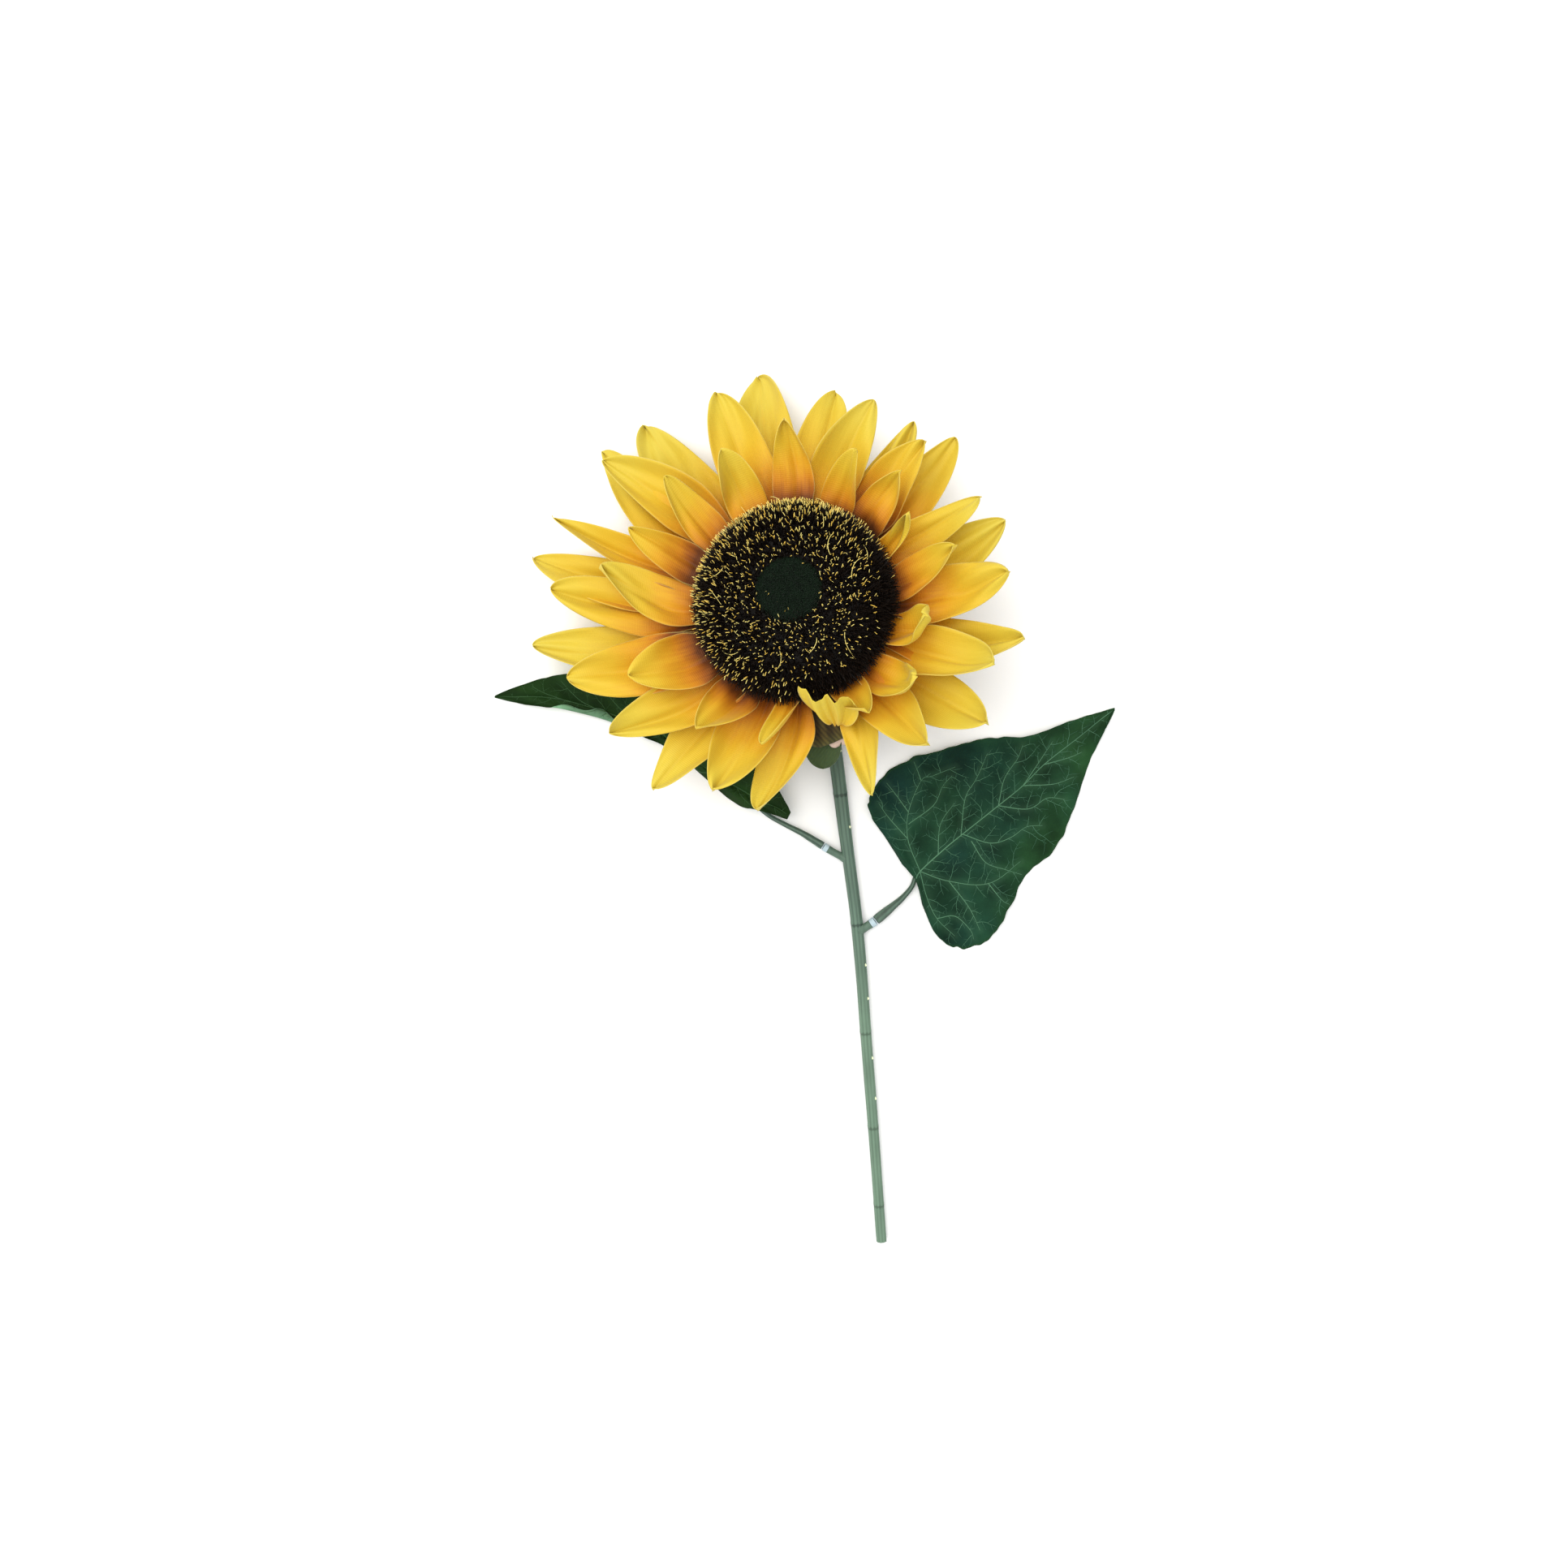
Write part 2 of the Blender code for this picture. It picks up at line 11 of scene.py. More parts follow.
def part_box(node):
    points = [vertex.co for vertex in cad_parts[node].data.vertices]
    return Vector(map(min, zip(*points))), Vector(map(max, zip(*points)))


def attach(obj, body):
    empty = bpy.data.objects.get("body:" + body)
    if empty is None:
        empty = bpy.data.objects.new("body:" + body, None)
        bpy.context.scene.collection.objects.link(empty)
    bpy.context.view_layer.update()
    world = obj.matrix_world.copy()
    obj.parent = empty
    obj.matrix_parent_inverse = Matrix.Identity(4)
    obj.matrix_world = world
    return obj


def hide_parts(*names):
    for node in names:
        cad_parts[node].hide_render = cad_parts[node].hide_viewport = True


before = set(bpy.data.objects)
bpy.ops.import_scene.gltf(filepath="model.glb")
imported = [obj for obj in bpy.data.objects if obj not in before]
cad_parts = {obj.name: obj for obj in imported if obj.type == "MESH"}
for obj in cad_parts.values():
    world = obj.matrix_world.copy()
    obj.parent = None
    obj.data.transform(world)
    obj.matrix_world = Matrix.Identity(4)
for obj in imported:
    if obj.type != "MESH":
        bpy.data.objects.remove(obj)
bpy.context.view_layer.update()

# ---------------------------------------------------------------- where the flower lies
# The flower lies on its back with the stem running to -Y. Every place is drawn in mm from the
# point under the camera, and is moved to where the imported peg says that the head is.
MM = 0.001
HEAD_LEAN = Euler((math.radians(-7.0), math.radians(-8.0), 0.0)).to_matrix()
DRAWN_HEAD = Vector((5.6, 69.6, 31.0)) * MM
PEG_MIDDLE = 2.5 * MM                   # along the peg from the back petal ring
peg_low, peg_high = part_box("centre_peg")
HEAD_CENTRE = (peg_low + peg_high) / 2 - HEAD_LEAN @ Vector((0, 0, PEG_MIDDLE))
DRAWN_TO_FRAME = HEAD_CENTRE - DRAWN_HEAD

# ---------------------------------------------------------------- stem wire
# A drawn steel wire runs through the stem so that it can be bent. It shows only as a bright
# disc in the cut end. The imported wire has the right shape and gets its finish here.
class Value:
    """A node's output in a material. Sums and products with it become Math nodes."""

    def __init__(self, finish, socket):
        self.finish, self.socket = finish, socket

    def math(self, operation, *others):
        inputs = dict(enumerate((self, *others)))
        return self.finish.node("ShaderNodeMath", {"operation": operation}, inputs)

    def __add__(self, other):
        return self.math("ADD", other)

    def __sub__(self, other):
        return self.math("SUBTRACT", other)

    def __rsub__(self, other):
        return (self * -1.0).math("ADD", other)

    def __mul__(self, other):
        return self.math("MULTIPLY", other)

    __radd__, __rmul__ = __add__, __mul__

    def smooth(self, low, high):
        """0 below low, 1 above high, eased between. Low may be over high."""
        return self.finish.node("ShaderNodeMapRange", {"interpolation_type": "SMOOTHSTEP"},
                                {"Value": self, "From Min": low, "From Max": high})


class Finish:
    """A material with one Principled shader. Its constant sockets are set when it is made."""

    def __init__(self, name, **constants):
        self.material = bpy.data.materials.new(name)
        self.material.use_nodes = True
        self.tree = self.material.node_tree
        self.shader = self.tree.nodes["Principled BSDF"]
        for socket, value in constants.items():
            label = socket.replace("_", " ").title().replace("Ior", "IOR")
            self.shader.inputs[label].default_value = value

    def node(self, kind, settings=None, inputs=None, output=0):
        made = self.tree.nodes.new(kind)
        for key, value in (settings or {}).items():
            if key == "stops":
                ramp = made.color_ramp
                while len(ramp.elements) < len(value):
                    ramp.elements.new(1.0)
                for element, (place, colour) in zip(ramp.elements, value):
                    element.position = place
                    element.color = (*colour, 1.0)
            else:
                setattr(made, key, value)
        for key, value in (inputs or {}).items():
            if isinstance(value, Value):
                self.tree.links.new(value.socket, made.inputs[key])
            elif isinstance(value, tuple) and len(value) == 3 and made.inputs[key].type == "RGBA":
                made.inputs[key].default_value = (*value, 1.0)
            else:
                made.inputs[key].default_value = value
        return Value(self, made.outputs[output])

    def feed(self, socket, value):
        self.tree.links.new(value.socket, self.shader.inputs[socket])

    def place(self):
        """Object coordinates, in metres."""
        return self.node("ShaderNodeTexCoord", output="Object")

    def attribute(self, name):
        return self.node("ShaderNodeAttribute", {"attribute_name": name}, output="Fac")

    def noise(self, vector, scale, detail=2.0, rough=0.5):
        """Noise round 0.5, at a scale in cycles per unit of the vector."""
        return self.node("ShaderNodeTexNoise", {}, {"Vector": vector, "Scale": scale,
                                                    "Detail": detail, "Roughness": rough})

    def stretched(self, vector, scales):
        return self.node("ShaderNodeVectorMath", {"operation": "MULTIPLY"},
                         {0: vector, 1: scales})

    def ramp(self, value, stops):
        return self.node("ShaderNodeValToRGB", {"stops": stops}, {"Fac": value})

    def mix(self, one, two, share):
        return self.node("ShaderNodeMix", {"data_type": "RGBA"},
                         {0: share, 6: one, 7: two}, 2)

    def tint(self, colour, by, amount):
        """The colour made lighter or darker where the value by is off 0.5."""
        strength = 1.0 + (by - 0.5) * (2.0 * amount)
        grey = self.node("ShaderNodeCombineColor", {},
                         {"Red": strength, "Green": strength, "Blue": strength})
        return self.node("ShaderNodeMix", {"data_type": "RGBA", "blend_type": "MULTIPLY"},
                         {0: 1.0, 6: colour, 7: grey}, 2)

    def bump(self, height, distance, strength=1.0):
        """Relief from a height of 0 to 1, that far deep in metres."""
        self.feed("Normal", self.node("ShaderNodeBump", {}, {
            "Height": height, "Distance": distance, "Strength": strength}, "Normal"))


def refinish(node, finish):
    """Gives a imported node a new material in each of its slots."""
    piece = bpy.data.objects[node]
    for place in piece.material_slots:
        place.material = finish.material


steel = Finish("drawn steel", metallic=1.0, base_color=(0.42, 0.41, 0.40, 1.0))
drawn_lines = steel.noise(steel.stretched(steel.place(), (4000.0, 60.0, 4000.0)), 1.0)
steel.feed("Roughness", 0.28 + drawn_lines * 0.3)
refinish("stem_wire", steel)

# ---------------------------------------------------------------- stem
# The stem is moulded soft plastic round the wire, fluted like a real sunflower's, with slight
# rings, a parting seam down one side with flecks of flash, and two stubs for the leaf stalks.
STEM_ROUTE = [                          # x, y, z and radius, in mm
    (6.9, 68.5, 21.9, 3.0), (7.55, 67.8, 17.0, 3.1), (8.6, 66.3, 11.9, 3.15),
    (10.4, 62.8, 7.6, 3.15), (12.6, 57.0, 4.8, 3.15), (15.2, 48.0, 3.5, 3.15),
    (18.4, 32.0, 3.2, 3.1), (21.9, 10.6, 3.15, 3.05), (25.6, -18.5, 2.9, 2.8),
    (27.8, -35.0, 2.75, 2.65), (30.4, -55.0, 2.65, 2.55), (32.8, -80.0, 2.55, 2.45),
    (34.6, -105.0, 2.45, 2.35), (36.6, -130.0, 2.4, 2.3), (38.9, -160.0, 2.3, 2.2),
    (41.3, -193.5, 2.25, 2.15),
]
STUB_LEFT = [(27.0, -32.0, 2.8, 2.4), (24.6, -30.8, 2.9, 1.75), (21.5, -29.2, 3.0, 1.55),
             (18.4, -27.4, 3.2, 1.65), (16.8, -26.4, 3.3, 1.75)]
STUB_RIGHT = [(31.4, -62.0, 2.7, 2.6), (33.4, -61.1, 2.8, 2.0), (35.0, -60.2, 2.9, 1.75),
              (37.4, -58.6, 3.1, 1.95), (38.4, -57.9, 3.2, 2.0)]
NODE_RINGS = (-3.8, -58.6, -104.5, -144.5, -177.4)      # where the stem has a ring, along Y
BORE = 1.4                              # radius of the wire's bore, mm
STEM_SIDES, STUB_SIDES = 54, 24
FLUTES = 9
FLUTE_DEEP, RING_HIGH, SEAM_HIGH = 0.030, 0.05, 0.035   # as shares of the stem's radius
FLUTE_WANDER, WANDER_RUN = 0.35, 31.0   # how far the flutes wind, in radians, and how slowly, mm
JOINT_RING = 2.2                        # length of the bare ring at a stub's end, mm


def lying(points):
    """Drawn places in mm, as an array in the frame's metres."""
    return np.asarray(points, float) * MM + np.array(DRAWN_TO_FRAME)


def smooth_route(points, spacing):
    """Catmull-Rom points through a route, about a given distance apart, as an array."""
    rows = np.array(points, float)
    rows = np.vstack([2 * rows[0] - rows[1], rows, 2 * rows[-1] - rows[-2]])
    out = []
    for a, b, c, d in zip(rows, rows[1:], rows[2:], rows[3:]):
        parts = max(1, round(np.linalg.norm((c - b)[:3]) / spacing))
        for s in np.arange(parts) / parts:
            out.append(0.5 * (2 * b + (c - a) * s + (2 * a - 5 * b + 4 * c - d) * s * s
                              + (3 * b - a - 3 * c + d) * s**3))
    return np.array([*out, rows[-2]])


def sections_along(path):
    """Two directions square to the path at each of its points, which don't spin."""
    along = np.gradient(path, axis=0)
    along /= np.linalg.norm(along, axis=1)[:, None]
    side = np.array([1.0, 0.0, 0.0])
    sides = []
    for direction in along:
        side = side - direction * side.dot(direction)
        side /= np.linalg.norm(side)
        sides.append(side)
    sides = np.array(sides)
    return sides, np.cross(along, sides)


def round_bar(shape, route, spacing, count, swell, bore=0.0, marks=None):
    """Adds a closed bar, or a pipe with a bore, to a bmesh. swell(angle, path, radius) gives
    the radius all round, and marks(angle, path) the value of the bar's own attribute."""
    rows = smooth_route(route, spacing)
    path, radius = rows[:, :3], rows[:, 3:]
    one, two = sections_along(path)
    angle = np.arange(count) * 2 * math.pi / count
    full = swell(angle[None, :], path, radius)
    ring = (one[:, None] * np.cos(angle)[None, :, None]
            + two[:, None] * np.sin(angle)[None, :, None])
    places = lying(path[:, None] + ring * full[..., None])
    values = marks(angle[None, :], path) if marks else np.zeros(full.shape)
    layer = shape.verts.layers.float["mark"]
    loops = []
    for places_row, values_row in zip(places, values):
        loop = [shape.verts.new(p) for p in places_row]
        for vert, value in zip(loop, values_row):
            vert[layer] = value
        loops.append(loop)
    for low, high in zip(loops, loops[1:]):
        for i in range(count):
            j = (i + 1) % count
            shape.faces.new((low[i], low[j], high[j], high[i]))
    if bore:
        hole = [[shape.verts.new(p) for p in lying(path[k] + ring[k] * bore)]
                for k in range(len(path))]
        around = [loops[0], *hole, loops[-1]]
        for low, high in zip(around, around[1:]):
            for i in range(count):
                j = (i + 1) % count
                shape.faces.new((low[j], low[i], high[i], high[j]))
    else:
        shape.faces.new(loops[0])
        shape.faces.new(loops[-1])


def in_scene(name, data):
    """A new object at the origin that shows a mesh, lamp or camera."""
    made = bpy.data.objects.new(name, data)
    bpy.context.scene.collection.objects.link(made)
    return made


def finished(name, shape, finish, smooth_angle=40):
    """A piece from a bmesh, with its faces turned outwards, riding on the flower."""
    bmesh.ops.recalc_face_normals(shape, faces=shape.faces)
    mesh = bpy.data.meshes.new(name)
    shape.to_mesh(mesh)
    shape.free()
    mesh.shade_smooth()
    mesh.set_sharp_from_angle(angle=math.radians(smooth_angle))
    mesh.materials.append(finish.material)
    piece = in_scene(name, mesh)
    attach(piece, "root")
    return piece


def new_shape(*layers):
    """An empty bmesh with a number at each vertex for each named layer."""
    shape = bmesh.new()
    for layer in layers:
        shape.verts.layers.float.new(layer)
    return shape


def fluting(angle, y):
    """1 on the ridge of a flute and -1 in the groove beside it."""
    return np.cos(FLUTES * angle + FLUTE_WANDER * np.sin(y / WANDER_RUN))


def stem_radius(angle, path, radius):
    """Flutes that wander a little, rings at the nodes, and a seam on one side."""
    y = path[:, 1:2]
    flutes = FLUTE_DEEP * fluting(angle, y) + 0.014 * np.cos(17 * angle - y / 44.0)
    rings = sum(RING_HIGH * np.exp(-((y - at) / 0.7)**2) for at in NODE_RINGS)
    lumps = 0.012 * np.sin(y / 6.3) * np.sin(2 * angle + y / 17.0)
    seam = SEAM_HIGH * np.exp(-((np.mod(angle + 0.3, 2 * math.pi) - 0.3) / 0.09)**2)
    return radius * (0.975 + flutes + rings + lumps + seam)


def stem_marks(angle, path):
    """1 in the flutes' bottoms and beside a node ring, 0 on the ridges; these marks paint shade
    into the grooves and a ring's shadow beside it.
    """
    y = path[:, 1:2]
    grooves = 0.5 - 0.5 * fluting(angle, y)
    rings = sum(0.9 * np.exp(-((y - at + 1.0) / 0.5)**2) for at in NODE_RINGS)
    return np.clip(0.55 * grooves + rings, 0, 1)


def stub_radius(angle, path, radius):
    """Nearly round, with five soft ridges."""
    return radius * (1.0 + 0.02 * np.cos(5 * angle))


def bare_end(angle, path):
    """2 on the last stretch of a stub, where the joint shows bare plastic."""
    left = np.linalg.norm(path - path[-1], axis=1)[:, None]
    return np.where(left < JOINT_RING, 2.0, 0.3) + 0 * angle


stem_plastic = Finish("sage stem plastic", specular_ior_level=0.35)
place = stem_plastic.place()
mark = stem_plastic.attribute("mark")
y_place = stem_plastic.node("ShaderNodeSeparateXYZ", {}, {0: place}, "Y")
# Painted shade: the stem's greens are painted darker towards the head, where the stem lies under
# it.
under_head_shade = y_place.smooth(-0.10, -0.035)
ridge_green = stem_plastic.mix((0.132, 0.216, 0.148), (0.085, 0.143, 0.104), under_head_shade)
groove_shade_green = stem_plastic.mix((0.064, 0.108, 0.070), (0.025, 0.046, 0.033), under_head_shade)
# Painted shade: the flutes' grooves and a strip beside each node ring take the darker green.
green = stem_plastic.mix(ridge_green, groove_shade_green, mark.smooth(0.1, 1.0))
long_streaks = stem_plastic.noise(stem_plastic.stretched(place, (900.0, 40.0, 900.0)), 1.0, 3.0)
green = stem_plastic.tint(green, long_streaks, 0.35)
cloudy = stem_plastic.noise(place, 55.0, 3.0)
green = stem_plastic.tint(green, cloudy, 0.25)
green = stem_plastic.mix(green, (0.416, 0.528, 0.576), mark.smooth(1.2, 1.8))
stem_plastic.feed("Base Color", green)
stem_plastic.feed("Roughness", 0.42 + cloudy * 0.22)
stem_plastic.bump(long_streaks, 0.0002, 0.5)

stem_shape = new_shape("mark")
round_bar(stem_shape, STEM_ROUTE, 0.6, STEM_SIDES, stem_radius, bore=BORE, marks=stem_marks)
for stub in (STUB_LEFT, STUB_RIGHT):
    round_bar(stem_shape, stub, 0.4, STUB_SIDES, stub_radius, marks=bare_end)
stem = finished("stem_coating_fluted", stem_shape, stem_plastic)
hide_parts("stem_coating")

# ---------------------------------------------------------------- flash flecks
# Where the mould's halves met, thin pale flakes of plastic stand out of the seam.
FLASH_PLACES = (-18.0, -76.5, -90.5, -115.5, 14.0, -133.0)  # along Y
FLASH_SIZE = (0.66, 2.0, 1.1)           # thick, along the stem and out of it, in mm
FLASH_TIP, FLASH_TURN = 62.0, 18.0      # how far a flake leans out and along, in degrees
FLASH_OUT, FLASH_UP = 0.78, 0.62        # where it leaves the stem, as shares of the radius
flash_plastic = Finish("pale flash", base_color=(0.72, 0.78, 0.50, 1.0))
flash_plastic.feed("Roughness", 0.4 + flash_plastic.noise(flash_plastic.place(), 900.0) * 0.3)
stem_line = smooth_route(STEM_ROUTE, 0.5)
flash_shape = new_shape()
for number, at in enumerate(FLASH_PLACES):
    x, y, z, radius = stem_line[np.argmin(abs(stem_line[:, 1] - at))]
    flake = bmesh.ops.create_cone(flash_shape, cap_ends=True, segments=5,
                                  radius1=0.5, radius2=0.12, depth=1.0)["verts"]
    turn = FLASH_TURN * (-1) ** number
    lean = Euler((0.0, math.radians(FLASH_TIP), math.radians(turn))).to_matrix()
    root = Vector((x + FLASH_OUT * radius, y, z + FLASH_UP * radius))
    for vert in flake:
        vert.co = Vector(lying(root + lean @ (vert.co * Vector(FLASH_SIZE))))
flash = finished("stem_flash_flecks", flash_shape, flash_plastic)

# ---------------------------------------------------------------- leaf stalks
# Each leaf has its own moulded stalk: a sleeve that plugs on to the stub, and a thin rib that
# is glued along the underside of the blade.
STALK_LEFT = [
    (16.4, -26.15, 3.35, 1.7), (12.0, -23.4, 3.6, 1.55), (7.2, -20.5, 3.5, 1.3),
    (1.0, -17.4, 2.8, 1.1), (-5.8, -13.7, 1.9, 1.0), (-11.0, -9.6, 1.6, 0.95),
    (-18.0, -3.0, 1.5, 0.9), (-32.0, 6.0, 1.5, 0.85), (-50.0, 20.0, 1.5, 0.8),
    (-66.0, 27.0, 1.6, 0.7), (-82.0, 32.5, 1.8, 0.6),
]
STALK_RIGHT = [
    (38.75, -57.6, 3.25, 2.0), (41.6, -55.2, 3.5, 2.15), (45.8, -51.7, 3.4, 1.7),
    (50.0, -48.2, 2.7, 1.3), (54.0, -43.6, 2.1, 1.05), (57.4, -36.9, 1.8, 1.0),
    (69.0, -26.0, 1.7, 0.9), (88.0, -11.0, 1.6, 0.8), (104.0, 2.5, 1.5, 0.65),
]


def stalk_radius(angle, path, radius):
    """Five soft ridges, and wrinkles where the plastic was stretched on to the rib."""
    from_joint = np.linalg.norm(path - path[0], axis=1)[:, None]
    wrinkles = 0.03 * np.sin(from_joint / 0.9) * np.exp(-from_joint / 14.0)
    return radius * (0.97 + 0.03 * np.cos(5 * angle + from_joint / 9.0) + wrinkles)


def stalk_marks(angle, path):
    """Grooves are painted darker, as painted shade, and the joint's end is bare for a fraction of
    a millimetre.
    """
    from_joint = np.linalg.norm(path - path[0], axis=1)[:, None]
    grooves = 0.5 - 0.5 * np.cos(5 * angle + from_joint / 9.0)
    return np.where(from_joint < 0.5, 2.0, 0.2 + 0.6 * grooves)


for side, route in (("left", STALK_LEFT), ("right", STALK_RIGHT)):
    stalk_shape = new_shape("mark")
    round_bar(stalk_shape, route, 0.6, STUB_SIDES, stalk_radius, marks=stalk_marks)
    stalk = finished(f"leaf_stalk_{side}_moulded", stalk_shape, stem_plastic)
    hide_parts(f"leaf_stalk_{side}")

# ---------------------------------------------------------------- leaves
# A leaf is stiffened polyester cloth, printed dark green, pressed hot so that its veins stand
# up, cut out with a slightly toothed edge, and paler underneath.
LEAF_RIGHT = [                          # one edge, the midrib and the other edge, in mm
    ((50.2, -34.1, 2.2), (55.6, -40.4, 4.3), (58.6, -51.0, 2.0)),
    ((43.4, -23.2, 1.6), (57.4, -36.9, 4.0), (64.5, -63.8, 0.9)),
    ((36.2, -12.0, 1.0), (62.5, -32.0, 3.8), (74.0, -69.6, 0.4)),
    ((37.5, -2.5, 0.5), (69.0, -26.0, 3.6), (85.5, -67.0, 0.4)),
    ((50.0, 9.0, 0.4), (77.0, -19.5, 3.5), (94.5, -54.0, 1.4)),
    ((70.0, 15.5, 1.2), (88.0, -11.0, 3.4), (103.0, -38.5, 0.5)),
    ((88.0, 19.5, 0.5), (98.0, -3.0, 3.2), (114.5, -27.5, 1.0)),
    ((104.0, 20.5, 1.4), (108.0, 6.0, 3.0), (122.5, -11.5, 0.4)),
    ((121.0, 26.5, 0.8), (121.0, 16.0, 2.4), (129.0, 8.0, 0.8)),
    ((133.0, 30.2, 0.6), (132.5, 24.5, 1.2), (135.0, 21.0, 0.6)),
    ((140.2, 32.2, 0.4), (140.6, 32.1, 0.5), (140.4, 31.6, 0.4)),
]
LEAF_LEFT = [
    ((1.4, -9.0, 8.0), (2.8, -12.0, 6.4), (1.4, -14.8, 4.8)),
    ((-6.0, 3.0, 12.0), (-16.0, -3.5, 4.8), (-11.0, -10.9, 4.1)),
    ((-27.0, 25.0, 12.0), (-32.0, 6.0, 3.9), (-22.0, -7.2, 0.4)),
    ((-46.0, 38.0, 10.0), (-50.0, 20.0, 3.7), (-46.0, 13.0, 0.4)),
    ((-63.0, 44.0, 12.0), (-66.0, 27.0, 3.8), (-62.0, 20.0, 1.4)),
    ((-80.0, 46.0, 12.0), (-82.0, 32.5, 4.0), (-77.0, 25.6, 2.2)),
    ((-97.0, 45.0, 9.0), (-99.0, 36.5, 3.6), (-98.0, 30.6, 2.2)),
    ((-112.0, 41.0, 4.5), (-113.0, 37.4, 2.6), (-112.0, 34.0, 1.2)),
    ((-122.6, 37.3, 0.7), (-123.0, 37.0, 0.6), (-122.6, 36.6, 0.4)),
]
LEAF_THICK = 0.35 * MM
TABLE_GAP = 0.3 * MM                    # least height of a cloth's middle over the table
LEAF_GRID = 170, 130                    # vertices along a blade and across it
LOBES, TEETH = 0.012, 0.004             # of the edge, as shares of the half width
MOST_SWELL, SWELL_SHARE = 1.6, 0.1      # each half's arch: at most, mm, and of the half width
INNER_WAVE, EDGE_WAVE = 0.55, 0.75      # mm
MAIN_GROOVE, SIDE_GROOVE = (0.8, 0.30), (0.55, 0.16)    # reach and depth of a vein's groove, mm
PUFF = 0.16                             # how far the cloth puffs up between veins, mm
SIDE_THINNER = 0.16                     # how much nearer a side vein's pale line ends, mm
ROLL_MIDDLE, ROLL_REACH = 5.0, 1.15     # along the left blade, in stations
ROLL_FROM = 0.62                        # across the blade, where the rolled margin begins
ROLL_IN, ROLL_UP = 5.4, 2.6             # how far the margin comes back over and rises, mm
# Veins, each a line of places on the blade in mm: first the midrib, then the main veins that
# leave the hub, then the side veins.
VEINS_RIGHT = [
    [(55.5, -40.5), (57.4, -36.9), (67.9, -27.3), (75.4, -21.2), (90.5, -9.2), (101.0, -0.7),
     (109.9, 8.2), (125.6, 20.5), (140.6, 32.1)],
    [(57.4, -36.9), (52.2, -23.2), (52.6, -11.9), (58.0, 1.4), (62.8, 3.4), (72.4, 7.2)],
    [(57.4, -36.9), (69.6, -41.0), (86.3, -42.0), (100.3, -32.8)],
    [(57.4, -36.9), (60.0, -47.0), (64.5, -56.7), (72.4, -64.5)],
    [(74.7, -21.5), (76.5, -6.1), (80.9, 2.0), (86.0, 13.0)],
    [(75.4, -21.2), (87.0, -24.9), (95.9, -22.5), (102.4, -18.1), (109.0, -17.5)],
    [(90.5, -9.2), (93.0, 2.0), (98.5, 10.5), (101.0, 16.5)],
    [(90.5, -9.2), (103.0, -10.5), (111.0, -6.0), (119.0, -6.5)],
    [(101.0, -0.7), (107.5, 9.0), (113.5, 18.0)],
    [(101.0, -0.7), (114.0, 0.0), (122.5, 3.0)],
    [(109.9, 8.2), (120.0, 11.0), (126.0, 13.5)],
    [(52.2, -23.2), (44.0, -14.0), (40.0, -8.0)],
    [(52.6, -11.9), (47.0, -4.0), (43.5, 0.5)],
    [(58.0, 1.4), (56.0, 7.0), (55.0, 9.5)],
    [(52.5, -17.0), (63.0, -9.0), (67.0, -1.0), (71.0, 3.5)],
    [(65.0, -30.0), (66.0, -17.0), (72.0, -8.0)],
    [(69.6, -41.0), (78.0, -52.0), (83.0, -62.0)],
    [(86.3, -42.0), (92.0, -49.0), (95.5, -51.0)],
    [(64.5, -56.7), (72.5, -56.0), (79.0, -62.0), (80.5, -66.0)],
    [(79.0, -24.0), (85.0, -33.0), (93.0, -36.0), (101.0, -38.5)],
]
VEINS_LEFT = [
    [(-8.0, -9.6), (-16.0, -3.5), (-32.0, 6.0), (-50.0, 20.0), (-66.0, 27.0), (-82.0, 32.5),
     (-99.0, 36.5), (-123.0, 37.0)],
    [(-12.0, -7.0), (-4.0, -9.5), (1.0, -12.5)],
    [(-20.0, -1.0), (-18.0, -5.0), (-14.0, -9.0)],
    [(-40.0, 12.5), (-39.0, 22.0), (-42.0, 31.0)],
    [(-50.0, 20.0), (-54.0, 28.0), (-56.0, 39.0)],
    [(-62.0, 25.5), (-70.0, 33.0), (-77.0, 42.0)],
    [(-78.0, 31.2), (-86.0, 35.5), (-93.0, 43.0)],
    [(-90.0, 34.6), (-100.0, 38.0), (-106.0, 41.0)],
    [(-60.0, 24.5), (-64.0, 21.5), (-70.0, 23.0)],
    [(-74.0, 30.0), (-80.0, 27.5), (-88.0, 29.0)],
    [(-30.0, 5.0), (-36.0, 5.5), (-44.0, 12.0)],
]


def resting(places):
    """The same places, with those under the table's surface raised to lie just over it."""
    places[:, 2] = np.maximum(places[:, 2], TABLE_GAP)
    return places


def distance_to_lines(points, lines):
    """How far each point is from the nearest of some lines, in mm, and which line that is."""
    best = np.full(len(points), 1e9)
    which = np.zeros(len(points))
    for number, line in enumerate(lines):
        bends = smooth_route([(x, y, 0.0) for x, y in line], 3.0)[:, :2]
        for a, b in zip(bends, bends[1:]):
            run = b - a
            share = np.clip(((points - a) @ run) / run.dot(run), 0, 1)
            far = np.linalg.norm(points - a - share[:, None] * run, axis=1)
            which = np.where(far < best, number, which)
            best = np.minimum(far, best)
    return best, which


def quads_of(grid, closed=False):
    """The faces between the rows of a grid of vertex numbers, right round if it is closed."""
    here = grid if closed else grid[:, :-1]
    after = np.roll(grid, -1, axis=1) if closed else grid[:, 1:]
    return np.stack([here[:-1], here[1:], after[1:], after[:-1]], -1).reshape(-1, 4).tolist()


def open_mesh(name, places, faces, **marks):
    """A mesh of places in the frame, with an attribute for each set of marks."""
    mesh = bpy.data.meshes.new(name)
    mesh.from_pydata(places.tolist(), [], faces)
    for label, values in marks.items():
        layer = mesh.attributes.new(label, "FLOAT", "POINT")
        layer.data.foreach_set("value", np.ravel(values))
    return mesh


